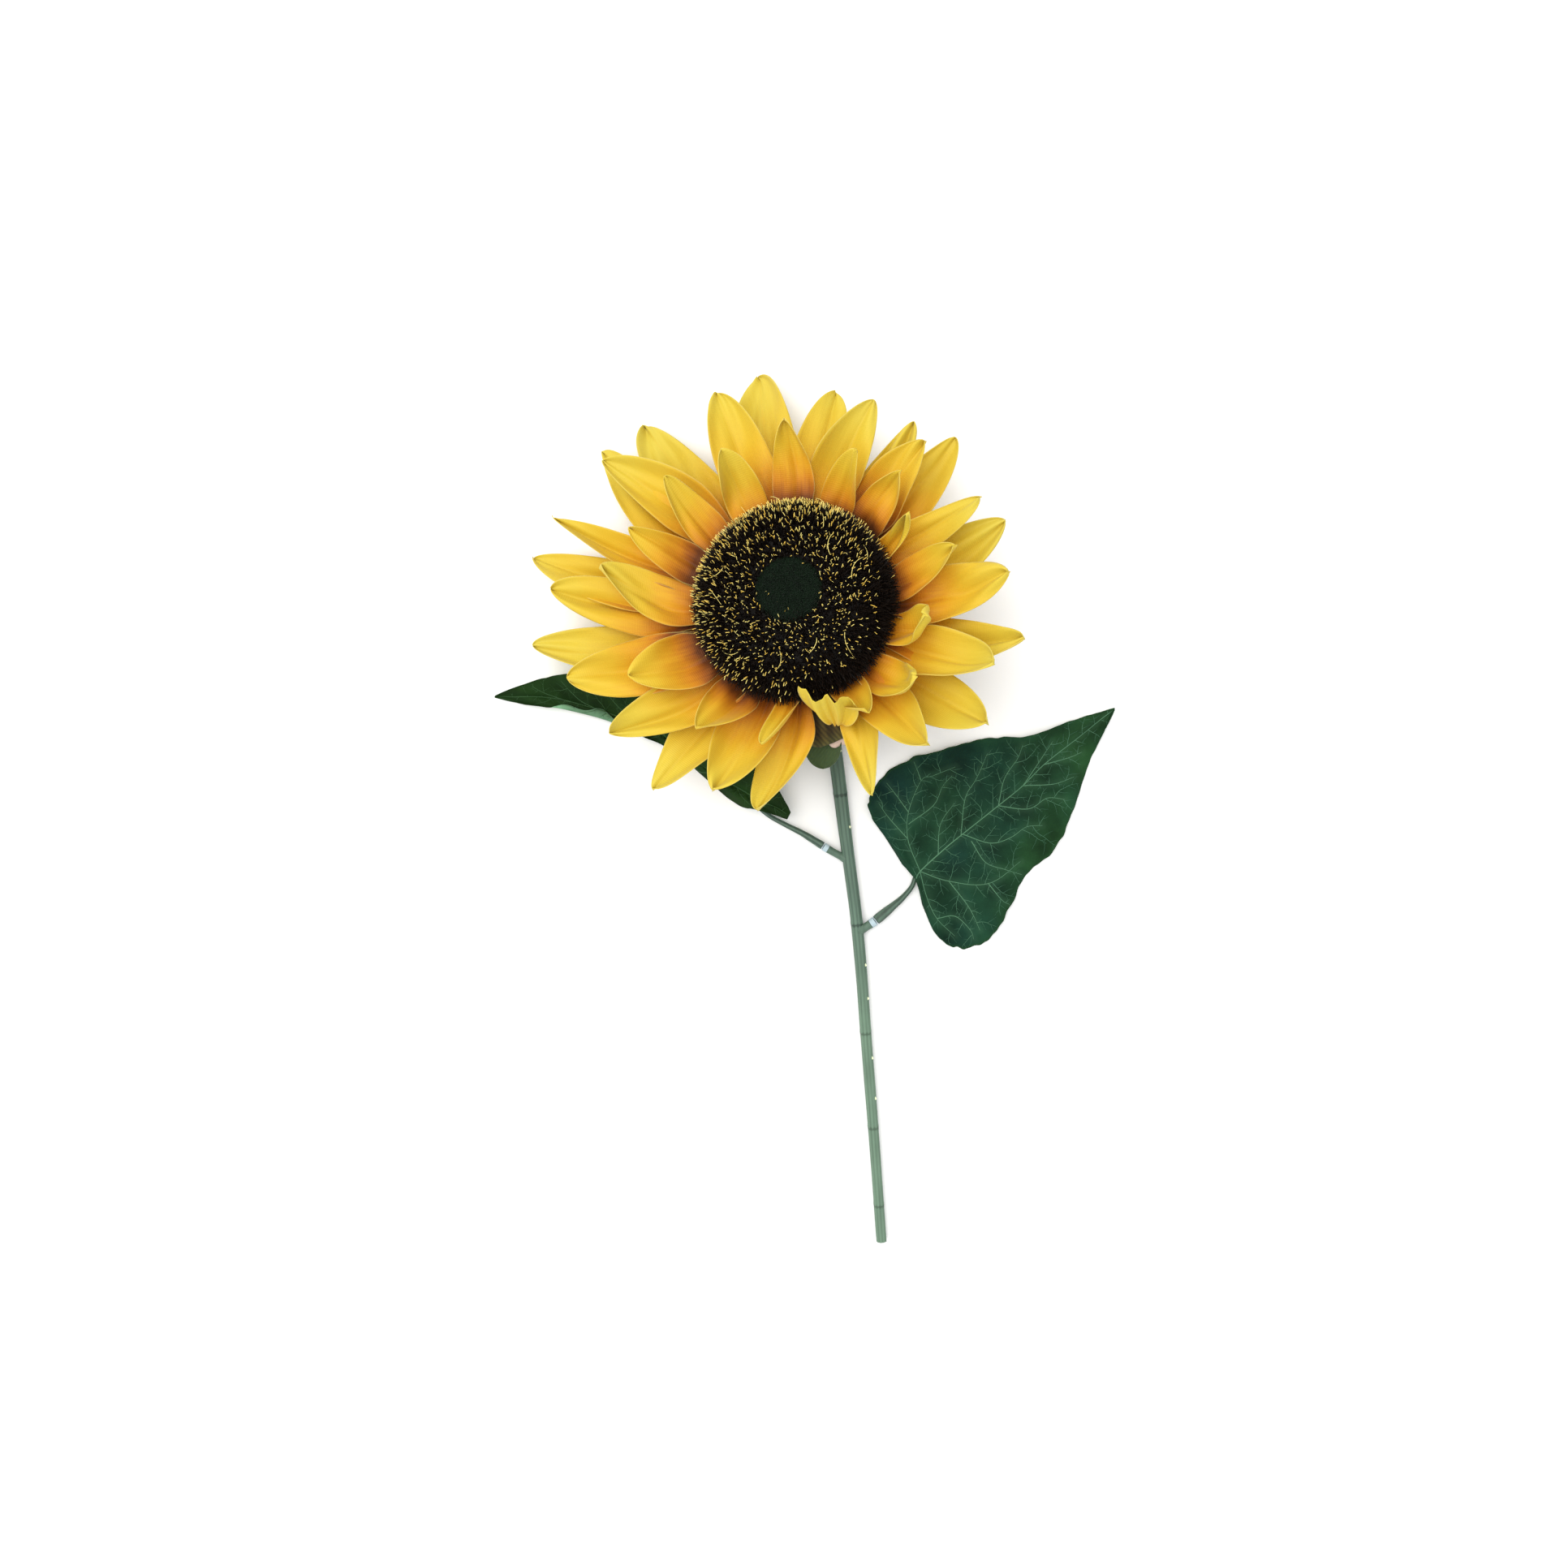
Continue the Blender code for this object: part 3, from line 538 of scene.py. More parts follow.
def leaf_blade(name, stations, veins, main_veins, curl, finish, under):
    """A blade lofted through its stations: pressed veins, soft waves and a toothed edge. Its
    first few lines of veins are the main ones."""
    rows, columns = LEAF_GRID
    flat = np.array(stations, float).reshape(len(stations), 9)
    padded = np.vstack([2 * flat[0] - flat[1], flat, 2 * flat[-1] - flat[-2]])
    a = np.linspace(0, len(stations) - 1, rows)
    k = np.minimum(a.astype(int), len(stations) - 2)
    s = (a - k)[:, None]
    p, q, r, w = (padded[k + i] for i in range(4))
    smooth = 0.5 * (2 * q + (r - p) * s + (2 * p - 5 * q + 4 * r - w) * s * s
                    + (3 * q - p - 3 * r + w) * s**3)
    left, rib, right = (smooth[:, None, i:i + 3] for i in (0, 3, 6))
    t = np.linspace(-1, 1, columns)[None, :, None]
    edge = np.where(t < 0, left, right)
    half = np.linalg.norm(edge - rib, axis=2, keepdims=True)
    station = a[:, None, None]
    teeth = (LOBES * np.sin(station * 6.0 + 2.0 * np.sin(station * 3.0))
             + TEETH * np.sin(station * 19.0 + 5.0 * t))
    places = rib + (edge - rib) * abs(t) * (1.0 + abs(t)**8 * teeth)
    swell = np.minimum(MOST_SWELL, SWELL_SHARE * half) * np.sin(math.pi * abs(t))
    waves = INNER_WAVE * np.sin(station * 4.1 + 3.0 * t) * np.sin(math.pi * abs(t))
    waves = waves + EDGE_WAVE * (1.0 + np.sin(station * 2.3 + 1.2 - 2.0 * t)) * t**2
    places[..., 2:] += swell + waves
    places = curl(places, a[:, None], t[..., 0])
    points = places.reshape(-1, 3)
    flat_places = (rib + (edge - rib) * abs(t))[..., :2].reshape(-1, 2)
    far, which = distance_to_lines(flat_places, veins)
    main = which < main_veins
    reach, depth = (np.where(main, *pair) for pair in zip(MAIN_GROOVE, SIDE_GROOVE))
    points[:, 2] += PUFF * np.clip(far / 4.0, 0, 1)**0.7 - np.exp(-(far / reach)**2) * depth
    mesh = open_mesh(name, resting(lying(points)),
                     quads_of(np.arange(rows * columns).reshape(rows, columns)),
                     vein_far=np.where(main, far, far + SIDE_THINNER),
                     across=np.broadcast_to(t[..., 0], (rows, columns)))
    mesh.materials.append(finish.material)
    mesh.materials.append(under.material)
    return in_scene(name, mesh)


def face_up(mesh):
    """Turns every face of an open sheet the way that most of them must look, upwards."""
    mesh.update()
    if sum(face.normal.z * face.area for face in mesh.polygons) < 0:
        mesh.flip_normals()


def sheet_area(mesh):
    """The area of an open cloth, in square metres."""
    return sum(face.area for face in mesh.polygons)


def thicken(piece, thickness, under_slot=0):
    """Gives an open sheet its wall, with its own finish underneath."""
    wall = piece.modifiers.new("cloth", "SOLIDIFY")
    wall.thickness = thickness
    wall.offset = 0.0
    wall.material_offset = under_slot
    piece.data.shade_smooth()


def leaf_finish(name, dark, light, vein, rough):
    """Printed cloth in two cloudy greens, paler at the veins and at the cut edge. The lighter
    green is painted on towards the east, so the right blade carries painted light at its far end
    and painted shade near the stem; random patches of it are the print's own.
    """
    made = Finish(name, specular_ior_level=0.06)
    place = made.place()
    far = made.attribute("vein_far")
    across = made.attribute("across")
    broad = made.noise(place, 28.0, 2.0)
    east = made.node("ShaderNodeSeparateXYZ", {}, {0: place}, "X")
    # Painted light and shade: eastwards the lighter green takes over, beside random patches of
    # it.
    east_light_and_patches = east.smooth(0.03, 0.13) * 0.6 + broad.smooth(0.35, 0.7) * 0.4
    colour = made.mix(dark, light, east_light_and_patches)
    speckle = made.noise(place, 1500.0, 2.0)
    colour = made.tint(colour, speckle, 0.16)
    cloudy = made.noise(place, 75.0, 3.0)
    colour = made.tint(colour, cloudy, 1.1)
    pressed = far.smooth(0.60, 0.15)
    paler = far.smooth(3.0, 0.3) * 0.09
    colour = made.mix(colour, vein, paler)
    edge = across.math("ABSOLUTE").smooth(0.965, 0.995)
    colour = made.mix(colour, light, edge * 0.6)
    made.feed("Base Color", colour)
    made.feed("Roughness", rough + speckle * 0.14)
    weave = made.noise(made.stretched(place, (2600.0, 2600.0, 300.0)), 1.0, 1.0)
    made.bump(weave * 0.5 + pressed * 0.5, 0.00012, 0.6)
    return made


leaf_top = leaf_finish("printed leaf cloth", (0.0044, 0.0248, 0.0208), (0.0136, 0.0512, 0.0144),
                       (0.084, 0.192, 0.104), 0.55)
# The left leaf's darker copy of the print is painted shade from the head and petals over it; it
# is also yellower.
leaf_shaded = leaf_finish("printed leaf cloth, yellower", (0.0096, 0.0288, 0.0048),
                        (0.0056, 0.0208, 0.004), (0.036, 0.104, 0.032), 0.55)
leaf_under = leaf_finish("leaf underside", (0.12, 0.24, 0.136), (0.16, 0.304, 0.184),
                         (0.216, 0.368, 0.232), 0.6)


def no_curl(places, station, t):
    """The right blade lies as it is drawn."""
    return places


def rolled_margin(places, station, t):
    """The left blade's near margin is rolled up and back over, and shows its underside."""
    roll = np.exp(-((station - ROLL_MIDDLE) / ROLL_REACH)**2)
    roll = roll * (1.0 + 0.18 * np.sin(station * 8.0))
    over = np.clip((t - ROLL_FROM) / (1 - ROLL_FROM), 0, 1) * roll
    inward = np.array([-0.25, 1.0, 0.0])
    lift = np.array([0.0, 0.0, 1.0])
    return (places + inward * (over**1.3 * ROLL_IN)[..., None]
            + lift * (np.sin(over * math.pi * 0.62) * ROLL_UP)[..., None])


VEIN_ORDERS = [                         # for twigs, then twiglets, in mm: apart, length, clear
    (3.0, (4.0, 14.0), 1.15),
    (1.6, (1.6, 5.5), 0.70),
]
VEIN_STEP = 0.8                         # mm
MIDRIB_HALF, VEIN_HALF, TWIG_HALF, TWIGLET_HALF = 0.46, 0.32, 0.21, 0.15    # half widths, mm
VEIN_SEED = 31
ABOVE_LEAF = 60.0                       # a height over all of the leaf, mm
RIDGE_SUNK = 0.10                       # how deep a vein's foot is in the cloth, mm


def finer_veins(draw, parents, apart, lengths, clear, taken, inside):
    """Veins that leave their parents on alternate sides, bend towards the parent's tip, and
    stop at the margin or short of another vein."""
    grown = []
    for parent in parents:
        run = apart * draw.uniform(0.4, 1.0)
        side = draw.choice((-1, 1))
        for a, b in zip(parent, parent[1:]):
            run -= np.linalg.norm(b - a)
            if run > 0:
                continue
            run = apart * draw.uniform(0.6, 1.4)
            side = -side
            ahead = math.atan2(*(b - a)[::-1])
            heading = ahead + side * math.radians(draw.uniform(48, 74))
            line = [a]
            steps = round(draw.uniform(*lengths) / VEIN_STEP)
            for number in range(steps):
                heading += side * math.radians(-1.5) + math.radians(draw.uniform(-13, 13))
                spot = line[-1] + VEIN_STEP * np.array([math.cos(heading), math.sin(heading)])
                far = np.linalg.norm(taken - spot, axis=1).min() if number > 1 else clear
                if far < clear or not inside(spot):
                    break
                line.append(spot)
            if len(line) > 2:
                grown.append(np.array(line))
                taken = np.vstack([taken, line])
    return grown, taken


def vein_ridges(shape, line, half, fineness, height_at):
    """A low ridge with a three-cornered section, which narrows towards the vein's end."""
    along = np.gradient(line, axis=0)
    across = np.stack([-along[:, 1], along[:, 0]], -1) / np.linalg.norm(along, axis=1)[:, None]
    layer = shape.verts.layers.float["fineness"]
    loops = []
    for number, (spot, aside) in enumerate(zip(line, across)):
        width = half * (1.0 - 0.55 * number / (len(line) - 1))
        foot = height_at(spot)
        loop = [shape.verts.new(place) for place in lying([
            (*(spot + aside * width), foot - RIDGE_SUNK),
            (*(spot - aside * width), foot - RIDGE_SUNK),
            (*spot, foot + 0.10 + 0.25 * width)])]
        for vert in loop:
            vert[layer] = fineness
        loops.append(loop)
    for low, high in zip(loops, loops[1:]):
        for i in range(3):
            j = (i + 1) % 3
            shape.faces.new((low[i], low[j], high[j], high[i]))
    shape.faces.new(loops[0])
    shape.faces.new(loops[-1])


def raised_veins(name, blade, lines, finish):
    """All the veins of a blade: the drawn ones, then twigs and twiglets grown from them."""
    surface = BVHTree.FromPolygons([v.co for v in blade.data.vertices],
                                   [tuple(f.vertices) for f in blade.data.polygons])

    def hit(spot):
        above = Vector(lying((*spot, ABOVE_LEAF)))
        return surface.ray_cast(above, Vector((0.0, 0.0, -1.0)))[0]

    def height_at(spot):
        return (hit(spot).z - DRAWN_TO_FRAME.z + LEAF_THICK / 2) / MM

    draw = random.Random(VEIN_SEED)
    drawn = [smooth_route([(x, y, 0.0) for x, y in line], VEIN_STEP)[:, :2] for line in lines]
    drawn = [np.array([spot for spot in line if hit(spot)]) for line in drawn]
    drawn = [line for line in drawn if len(line) > 3]
    shape = new_shape("fineness")
    for number, line in enumerate(drawn):
        vein_ridges(shape, line, MIDRIB_HALF if number == 0 else VEIN_HALF, 0.0, height_at)
    parents, taken = drawn, np.vstack(drawn)
    for (apart, lengths, clear), half, fineness in zip(
            VEIN_ORDERS, (TWIG_HALF, TWIGLET_HALF), (0.5, 1.0)):
        parents, taken = finer_veins(draw, parents, apart, lengths, clear, taken, hit)
        for line in parents:
            vein_ridges(shape, line, half, fineness, height_at)
    return finished(name, shape, finish, smooth_angle=180)


def vein_finish(name, plain, fine):
    """The veins' green, which fades towards the leaf's own on twigs and in patches."""
    made = Finish(name, sheen_weight=0.03, sheen_roughness=0.5, specular_ior_level=0.15)
    fineness = made.attribute("fineness")
    fading = made.noise(made.place(), 60.0, 2.0).smooth(0.3, 0.7)
    made.feed("Base Color", made.mix(plain, fine, (fineness * 0.85 + fading * 0.3).math(
        "MINIMUM", 1.0)))
    made.feed("Roughness", 0.5 + fading * 0.15)
    return made


veins_top = vein_finish("raised leaf veins", (0.088, 0.210, 0.118), (0.042, 0.122, 0.074))
# Its veins are painted darker too, as painted shade.
veins_shaded = vein_finish("raised leaf veins, yellower", (0.034, 0.092, 0.030),
                         (0.022, 0.066, 0.020))
for side, stations, veins, mains, curl, finish, vein_look, flat in (
        ("right", LEAF_RIGHT, VEINS_RIGHT, 4, no_curl, leaf_top, veins_top, (0.095, 0.125)),
        ("left", LEAF_LEFT, VEINS_LEFT, 1, rolled_margin, leaf_shaded, veins_shaded,
         (0.055, 0.145))):
    blade = leaf_blade(f"leaf_{side}_cloth", stations, veins, mains, curl, finish, leaf_under)
    face_up(blade.data)
    ridges = raised_veins(f"leaf_{side}_veins", blade, veins, vein_look)
    thicken(blade, LEAF_THICK, under_slot=1)
    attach(blade, "root")
    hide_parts(f"leaf_{side}")

# ---------------------------------------------------------------- cup and peg
# A pale moulded cup holds the stem's end, and a peg from the seed head passes through all the
# cloth rings into it. Both are bare plastic, and mostly hidden.
bare_plastic = Finish("bare moulded plastic", specular_ior_level=0.4)
mottled = bare_plastic.noise(bare_plastic.place(), 140.0, 3.0)
pale_pink = bare_plastic.mix((0.528, 0.4, 0.336), (0.64, 0.528, 0.464), mottled)
bare_plastic.feed("Base Color", pale_pink)
bare_plastic.feed("Roughness", 0.42 + mottled * 0.2)
for node in ("receptacle_cup", "centre_peg", "seed_head_core"):
    refinish(node, bare_plastic)

# ---------------------------------------------------------------- petal rings
# Three rings of stiffened satin cloth, hot-cut in one piece each and dyed from orange at the
# root to yellow at the tip; the dark brown at the roots next to the disc is partly painted
# shade. The petals were creased and curled by hand in a heated press.
# Each row: tip angle, swing from root to tip, tip radius, tip height over the ring, width (mm),
# slope at the root and at the tip (degrees), and how deep the petal is cupped. The petal that
# is folded back over the disc, with a ruffled end, has its own handle share too.
BACK_PETALS = [
    (21, 8, 87, 8, 24, 2, 20, 0.25),
    (48, 8, 93, 0, 22, 0, 12, 0.25),
    (60, 1, 91, -6, 15, -3, 0, 0.25),
    (82, 0, 95, -8, 22, 1, -12, 0.20),
    (101, -3, 107, -14, 26, -2, -18, 0.20),
    (129, -1, 108, -11, 25, -3, -12, 0.15),
    (140, -9, 111, -5, 23, 1, -4, 0.20),
    (167, -6, 116, -6, 24, 0, -6, 0.20),
    (186, -11, 112, -5, 24, 0, 0, 0.20),
    (232, -2, 92, 3, 24, -1, 10, 0.15),
    (260, -8, 82, 6, 22, 2, 14, 0.20),
    (292, -12, 81, 6, 17, 2, 10, 0.20),
    (327, 7, 88, 10, 25, 2, 24, 0.20),
    (350, 6, 89, 10, 23, 2, 26, 0.25),
]
MIDDLE_PETALS = [
    (5, 2, 82, 19, 24, 8, 34, 0.25),
    (27, -5, 80, 19, 16, 8, 36, 0.35),
    (51, 0, 80, 13, 24, 6, 26, 0.25),
    (70, -5, 88, 7, 24, 4, 16, 0.25),
    (111, 4, 97, 3, 25, 4, 4, 0.30),
    (142, 7, 103, 3, 25, 4, 2, 0.25),
    (159, -5, 108, 4, 15, 4, 0, 0.30),
    (175, -8, 101, 5, 24, 2, 8, 0.20),
    (198, -5, 95, 11, 25, 8, 12, 0.20),
    (215, -8, 89, 9, 25, 3, 14, 0.20),
    (248, -4, 80, 13, 26, 6, 22, 0.25),
    (289, -1, 43.0, 22, 21, 8, 116, 0.0, 0.95),
    (312, 2, 77, 19, 23, 8, 40, 0.30),
    (340, 3, 81, 21, 24, 8, 42, 0.25),
]
FRONT_PETALS = [
    (15, 8, 64, 22, 17, 8, 52, 0.30),
    (33, 5, 53, 24, 10, 10, 78, 0.30),
    (48, 0, 62, 22, 17, 5, 56, 0.25),
    (66, -3, 60, 24, 17, 15, 60, 0.25),
    (93, -1, 70, 20, 19, 8, 42, 0.25),
    (116, -1, 65, 20, 18, 8, 46, 0.30),
    (136, -3, 71, 18, 17, 7, 36, 0.30),
    (156, -5, 71, 18, 18, 13, 32, 0.25),
    (169, -11, 79, 13, 21, 4, 26, 0.20),
    (205, -5, 70, 16, 25, 8, 30, 0.30),
    (235, -2, 62, 18, 22, 8, 44, 0.30),
    (259, -12, 58, 15, 10, 12, 24, 0.30),
    (303, 4, 54, 18, 16, 12, 64, 0.35),
    (325, 7, 57, 24, 18, 10, 100, 0.30),
    (348, 7, 52, 26, 17, 5, 112, 0.30),
]
RING_STEP = 1.2 * MM                    # from one ring to the next along the peg
HUB_RADIUS = 25.0 * MM
PEG_HOLE = 2.4 * MM
ROOT_HALF = 3.9 * MM                    # half a petal's width at the hub
PETAL_THICK = 0.3 * MM
ALONG, ACROSS = 48, 20                  # quads in a petal
HANDLE_SHARE = 0.4                      # of a petal's length, how far its root runs straight
FOLD_REACH, CREASE_REACH = 0.20, 0.06   # of the soft fold and the sharp crease in it, across
CREASE_DEEP = 0.35 * MM
BUCKLES = 5                             # long soft waves in each petal
FRILL = 1.9 * MM                        # height of the folded petal's ruffles
PEAK, DIP = 5.5, 6.0                    # how far its left side stands up and its right goes, mm
PEAK_LEAN = np.array([-0.9, 0.45])      # which way the peak stands: outwards and up


def on_head(points):
    """Places in the head's own metres, Z along the peg, as an array in the frame."""
    return np.asarray(points, float) @ np.array(HEAD_LEAN).T + np.array(HEAD_CENTRE)


def ease(x):
    """0 at 0 and below, 1 at 1 and above, with a soft start and end."""
    x = np.clip(x, 0, 1)
    return x * x * (3 - 2 * x)


def petal_cloth(row, level, hub, root_half, bluntness, creasing, draw):
    """One petal as an array of places in the head's metres: along it, then across it. It has a
    fold beside its middle, long soft buckles, edges that roll, and a tip that leans over."""
    tip_angle, swing, reach, rise, width, lift, pitch, cup, *folded = row
    lift, pitch = math.radians(lift), math.radians(pitch)
    s = 1 - (1 - np.linspace(0, 1, ALONG + 1)[:, None])**1.3
    t = np.linspace(-1, 1, ACROSS + 1)[None, :]
    start, end = np.array([hub, level]), np.array([reach * MM, level + rise * MM])
    handle = (folded[0] if folded else HANDLE_SHARE) * np.linalg.norm(end - start)
    leave = start + handle * np.array([math.cos(lift), math.sin(lift)])
    arrive = end - handle * np.array([math.cos(pitch), math.sin(pitch)])
    q = 1 - s
    rib = q**3 * start + 3 * q * q * s * leave + 3 * q * s * s * arrive + s**3 * end
    slope = (3 * q * q * (leave - start) + 6 * q * s * (arrive - leave)
             + 3 * s * s * (end - arrive))
    slope /= np.linalg.norm(slope, axis=1)[:, None]
    angle = np.radians(tip_angle - swing * (1 - s**1.5))
    zero, one = np.zeros_like(angle), np.ones_like(angle)
    outward = np.stack([np.cos(angle), np.sin(angle), zero], -1)
    across = np.stack([-np.sin(angle), np.cos(angle), zero], -1)
    upward = np.stack([zero, zero, one], -1)
    face = slope[:, 0][:, None, None] * upward - slope[:, 1][:, None, None] * outward
    half = 0.5 * width * MM
    root = root_half / half
    one_sided = bluntness * draw.uniform(0.70, 1.30) * np.exp(draw.uniform(-0.5, 0.5) * t)
    outline = (root + (1 - root) * ease(s / 0.5)) * np.maximum((1 - s**one_sided)**0.60, 0.02)
    if folded:
        outline = 0.6 * root + (1 - 0.6 * root) * ease((s - 0.52) / 0.48) * (1 - 0.2 * s**20)
    local = half * outline
    length = (reach * MM - hub)
    twist = np.radians(draw.uniform(-20, 20)) * s**1.5
    bow = draw.uniform(-0.22, 0.22) * half * np.sin(math.pi * s**1.2)
    roll = 2 * cup * ease(s / 0.3) + draw.uniform(0, 0.45) * ease((s - 0.55) / 0.45)
    roll = np.maximum(roll, 0.02)
    flat_x = local * np.sin(roll * t) / roll
    flat_z = local * (1 - np.cos(roll * t)) / roll
    fold_at = draw.uniform(-0.28, 0.28) * (1 - 0.6 * s)
    fold = -creasing * draw.uniform(0.5, 1.5) * MM * np.exp(-((t - fold_at) / FOLD_REACH)**2)
    crease = -CREASE_DEEP * np.exp(-((t - fold_at) / CREASE_REACH)**2)
    relief = flat_z + (fold + crease) * ease(s / 0.25) * (1 - 0.5 * s**4)
    for number in range(BUCKLES):
        up, over = draw.uniform(0.4, 2.2), draw.uniform(-1.1, 1.1)
        size = creasing * draw.uniform(0.2, 0.75) * MM / (1 + 0.3 * number)
        wave = np.sin(2 * math.pi * (up * s + over * t + draw.uniform(0, 1)))
        relief = relief + size * wave * ease((s - 0.08) / 0.3)
    for side in (-1, 1):
        middle, reach_up = draw.uniform(0.3, 0.95), draw.uniform(0.12, 0.3)
        roll_up = creasing * draw.uniform(-1.2, 2.6) * MM * np.exp(-((s - middle) / reach_up)**2)
        relief = relief + roll_up * np.clip(side * t - 0.35, 0, 1)**2 / 0.42
    longer = np.zeros_like(relief)
    if folded:
        frill = np.sin(2 * math.pi * 1.25 * t + 2.2) + 0.4 * np.sin(2 * math.pi * 2.6 * t)
        relief = relief + FRILL * frill * ease((s - 0.45) / 0.4)
        peak = (PEAK * ease(-1.15 * t - 0.15) - DIP * ease(1.4 * t - 0.2)
                + 0.9 * np.sin(2 * math.pi * 1.6 * t + 1.2))
        longer = MM * peak * ease((s - 0.55) / 0.45)
    x = bow + flat_x * np.cos(twist) - relief * np.sin(twist)
    z = flat_x * np.sin(twist) + relief * np.cos(twist)
    rib = rib[:, None, :] + PEAK_LEAN * longer[..., None]
    places = (outward * rib[..., :1] + upward * rib[..., 1:]
              + across * x[..., None] + face * z[..., None])
    return places, s + 0 * t, t + 0 * s, local, length


def petal_ring(name, rows, level, hub, root_half, bluntness, creasing, seed):
    """A ring's open cloth, with attributes along, across and tone, and a UV map in metres."""
    draw = random.Random(seed)
    places, along, across, tone, cloth_uv, faces, roots = [], [], [], [], [], [], []
    for row in sorted(rows, key=lambda r: r[0] - r[1]):
        spots, s, t, local, length = petal_cloth(row, level, hub, root_half, bluntness,
                                                 creasing, draw)
        first = sum(len(p) for p in places)
        grid = first + np.arange(spots[..., 0].size).reshape(spots.shape[:2])
        faces += quads_of(grid)
        roots.append(grid[0])
        places.append(spots.reshape(-1, 3))
        along.append(s.ravel())
        across.append(t.ravel())
        tone.append(np.full(s.size, draw.uniform(0, 1)))
        cloth_uv.append(np.stack([(t * local).ravel(), (s * length).ravel()], -1))
    outer = np.concatenate(roots)
    first = sum(len(p) for p in places)
    rim = np.concatenate(places)[outer]
    direction = rim[:, :2] / np.linalg.norm(rim[:, :2], axis=1)[:, None]
    inner = np.column_stack([direction * PEG_HOLE, np.full(len(rim), level)])
    count = len(outer)
    for i in range(count):
        j = (i + 1) % count
        faces.append((first + i, int(outer[i]), int(outer[j]), first + j))
    places.append(inner)
    along.append(np.full(count, -0.3))
    across.append(np.zeros(count))
    tone.append(np.full(count, 0.5))
    cloth_uv.append(inner[:, :2])
    mesh = open_mesh(name, resting(on_head(np.concatenate(places))), faces,
                     along=np.concatenate(along), across=np.concatenate(across),
                     tone=np.concatenate(tone))
    uv = np.concatenate(cloth_uv)
    corner = np.zeros(len(mesh.loops), int)
    mesh.loops.foreach_get("vertex_index", corner)
    mesh.uv_layers.new(name="cloth").data.foreach_set("uv", uv[corner].ravel())
    face_up(mesh)
    return in_scene(name, mesh)


RIB_APART, THREAD_APART = 0.00075, 0.00055              # in the weave, metres


def petal_finish(name, dye_and_shade_reach):
    """Satin dyed orange at the root and yellow at the tip, with the darkest brown at the root
    partly painted shade next to the disc. The second argument moves the orange and the painted
    shade towards the tip.
    """
    made = Finish(name, sheen_weight=0.12, sheen_roughness=0.4, specular_ior_level=0.25)
    along, across = made.attribute("along"), made.attribute("across")
    tone = made.attribute("tone")
    cloth = made.node("ShaderNodeUVMap", {"uv_map": "cloth"})
    streaks = made.noise(made.stretched(cloth, (900.0, 55.0, 1.0)), 1.0, 3.0)
    blotch = made.noise(cloth, 70.0, 2.0)
    dye_and_shade = (along + (streaks - 0.5) * 0.10 + (blotch - 0.5) * 0.20
           + (tone - 0.5) * 0.24 - dye_and_shade_reach)
    # The first stops, near-black to red-brown at the root, are partly dye and partly painted
    # shade next to the disc.
    colour = made.ramp(dye_and_shade, [
        (0.00, (0.120, 0.030, 0.003)), (0.07, (0.310, 0.085, 0.004)),
        (0.17, (0.560, 0.205, 0.006)), (0.30, (0.656, 0.325, 0.011)),
        (0.48, (0.656, 0.424, 0.0224)), (0.74, (0.64, 0.48, 0.0416)),
        (1.00, (0.616, 0.512, 0.072))])
    colour = made.tint(colour, streaks, 0.06)
    # Painted shade: along each petal's folded middle the colour is pulled towards a darker
    # orange.
    crease = across.math("ABSOLUTE").smooth(0.07, 0.0) * along.smooth(0.1, 0.5)
    colour = made.mix(colour, (0.64, 0.336, 0.016), crease * 0.12)
    edge = across.math("ABSOLUTE").smooth(0.968, 0.995)
    colour = made.mix(colour, (0.672, 0.528, 0.136), edge * 0.4)
    made.feed("Base Color", colour)
    run = made.node("ShaderNodeSeparateXYZ", {}, {0: cloth}, "Y")
    ribs = (run * (2 * math.pi / RIB_APART)).math("SINE") * 0.5 + 0.5
    side = made.node("ShaderNodeSeparateXYZ", {}, {0: cloth}, "X")
    threads = (side * (2 * math.pi / THREAD_APART)).math("SINE") * 0.5 + 0.5
    made.feed("Roughness", 0.46 + streaks * 0.16)
    made.bump(ribs * 0.6 + threads * 0.4 + streaks * 0.8 + blotch * 1.5, 0.00014, 0.5)
    return made


back_satin = petal_finish("petal satin, back ring", 0.12)
middle_satin = petal_finish("petal satin, middle ring", 0.19)
front_satin = petal_finish("petal satin, front ring", 0.29)
for number, (label, rows, finish, creasing) in enumerate((
        ("back", BACK_PETALS, back_satin, 1.5), ("middle", MIDDLE_PETALS, middle_satin, 1.7),
        ("front", FRONT_PETALS, front_satin, 1.2))):
    ring = petal_ring(f"petals_{label}_cloth", rows, number * RING_STEP, HUB_RADIUS,
                      ROOT_HALF, bluntness=4.2, creasing=creasing, seed=11 + number)
    ring.data.materials.append(finish.material)
    widest = 2 * max(row[2] for row in rows) * MM
    thicken(ring, PETAL_THICK)
    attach(ring, "root")
    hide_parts(f"petal_ring_{label}")

# ---------------------------------------------------------------- sepals
# Ten rounded lobes of one green cloth ring lie behind the petals.
SEPALS = [(279 + 36 * i, 0, 63, -11, 17, -8, -18, 0.10) for i in range(10)]
SEPAL_LEVEL = -2.4 * MM
SEPAL_HUB = 17.0 * MM
SEPAL_ROOT_HALF = 4.6 * MM

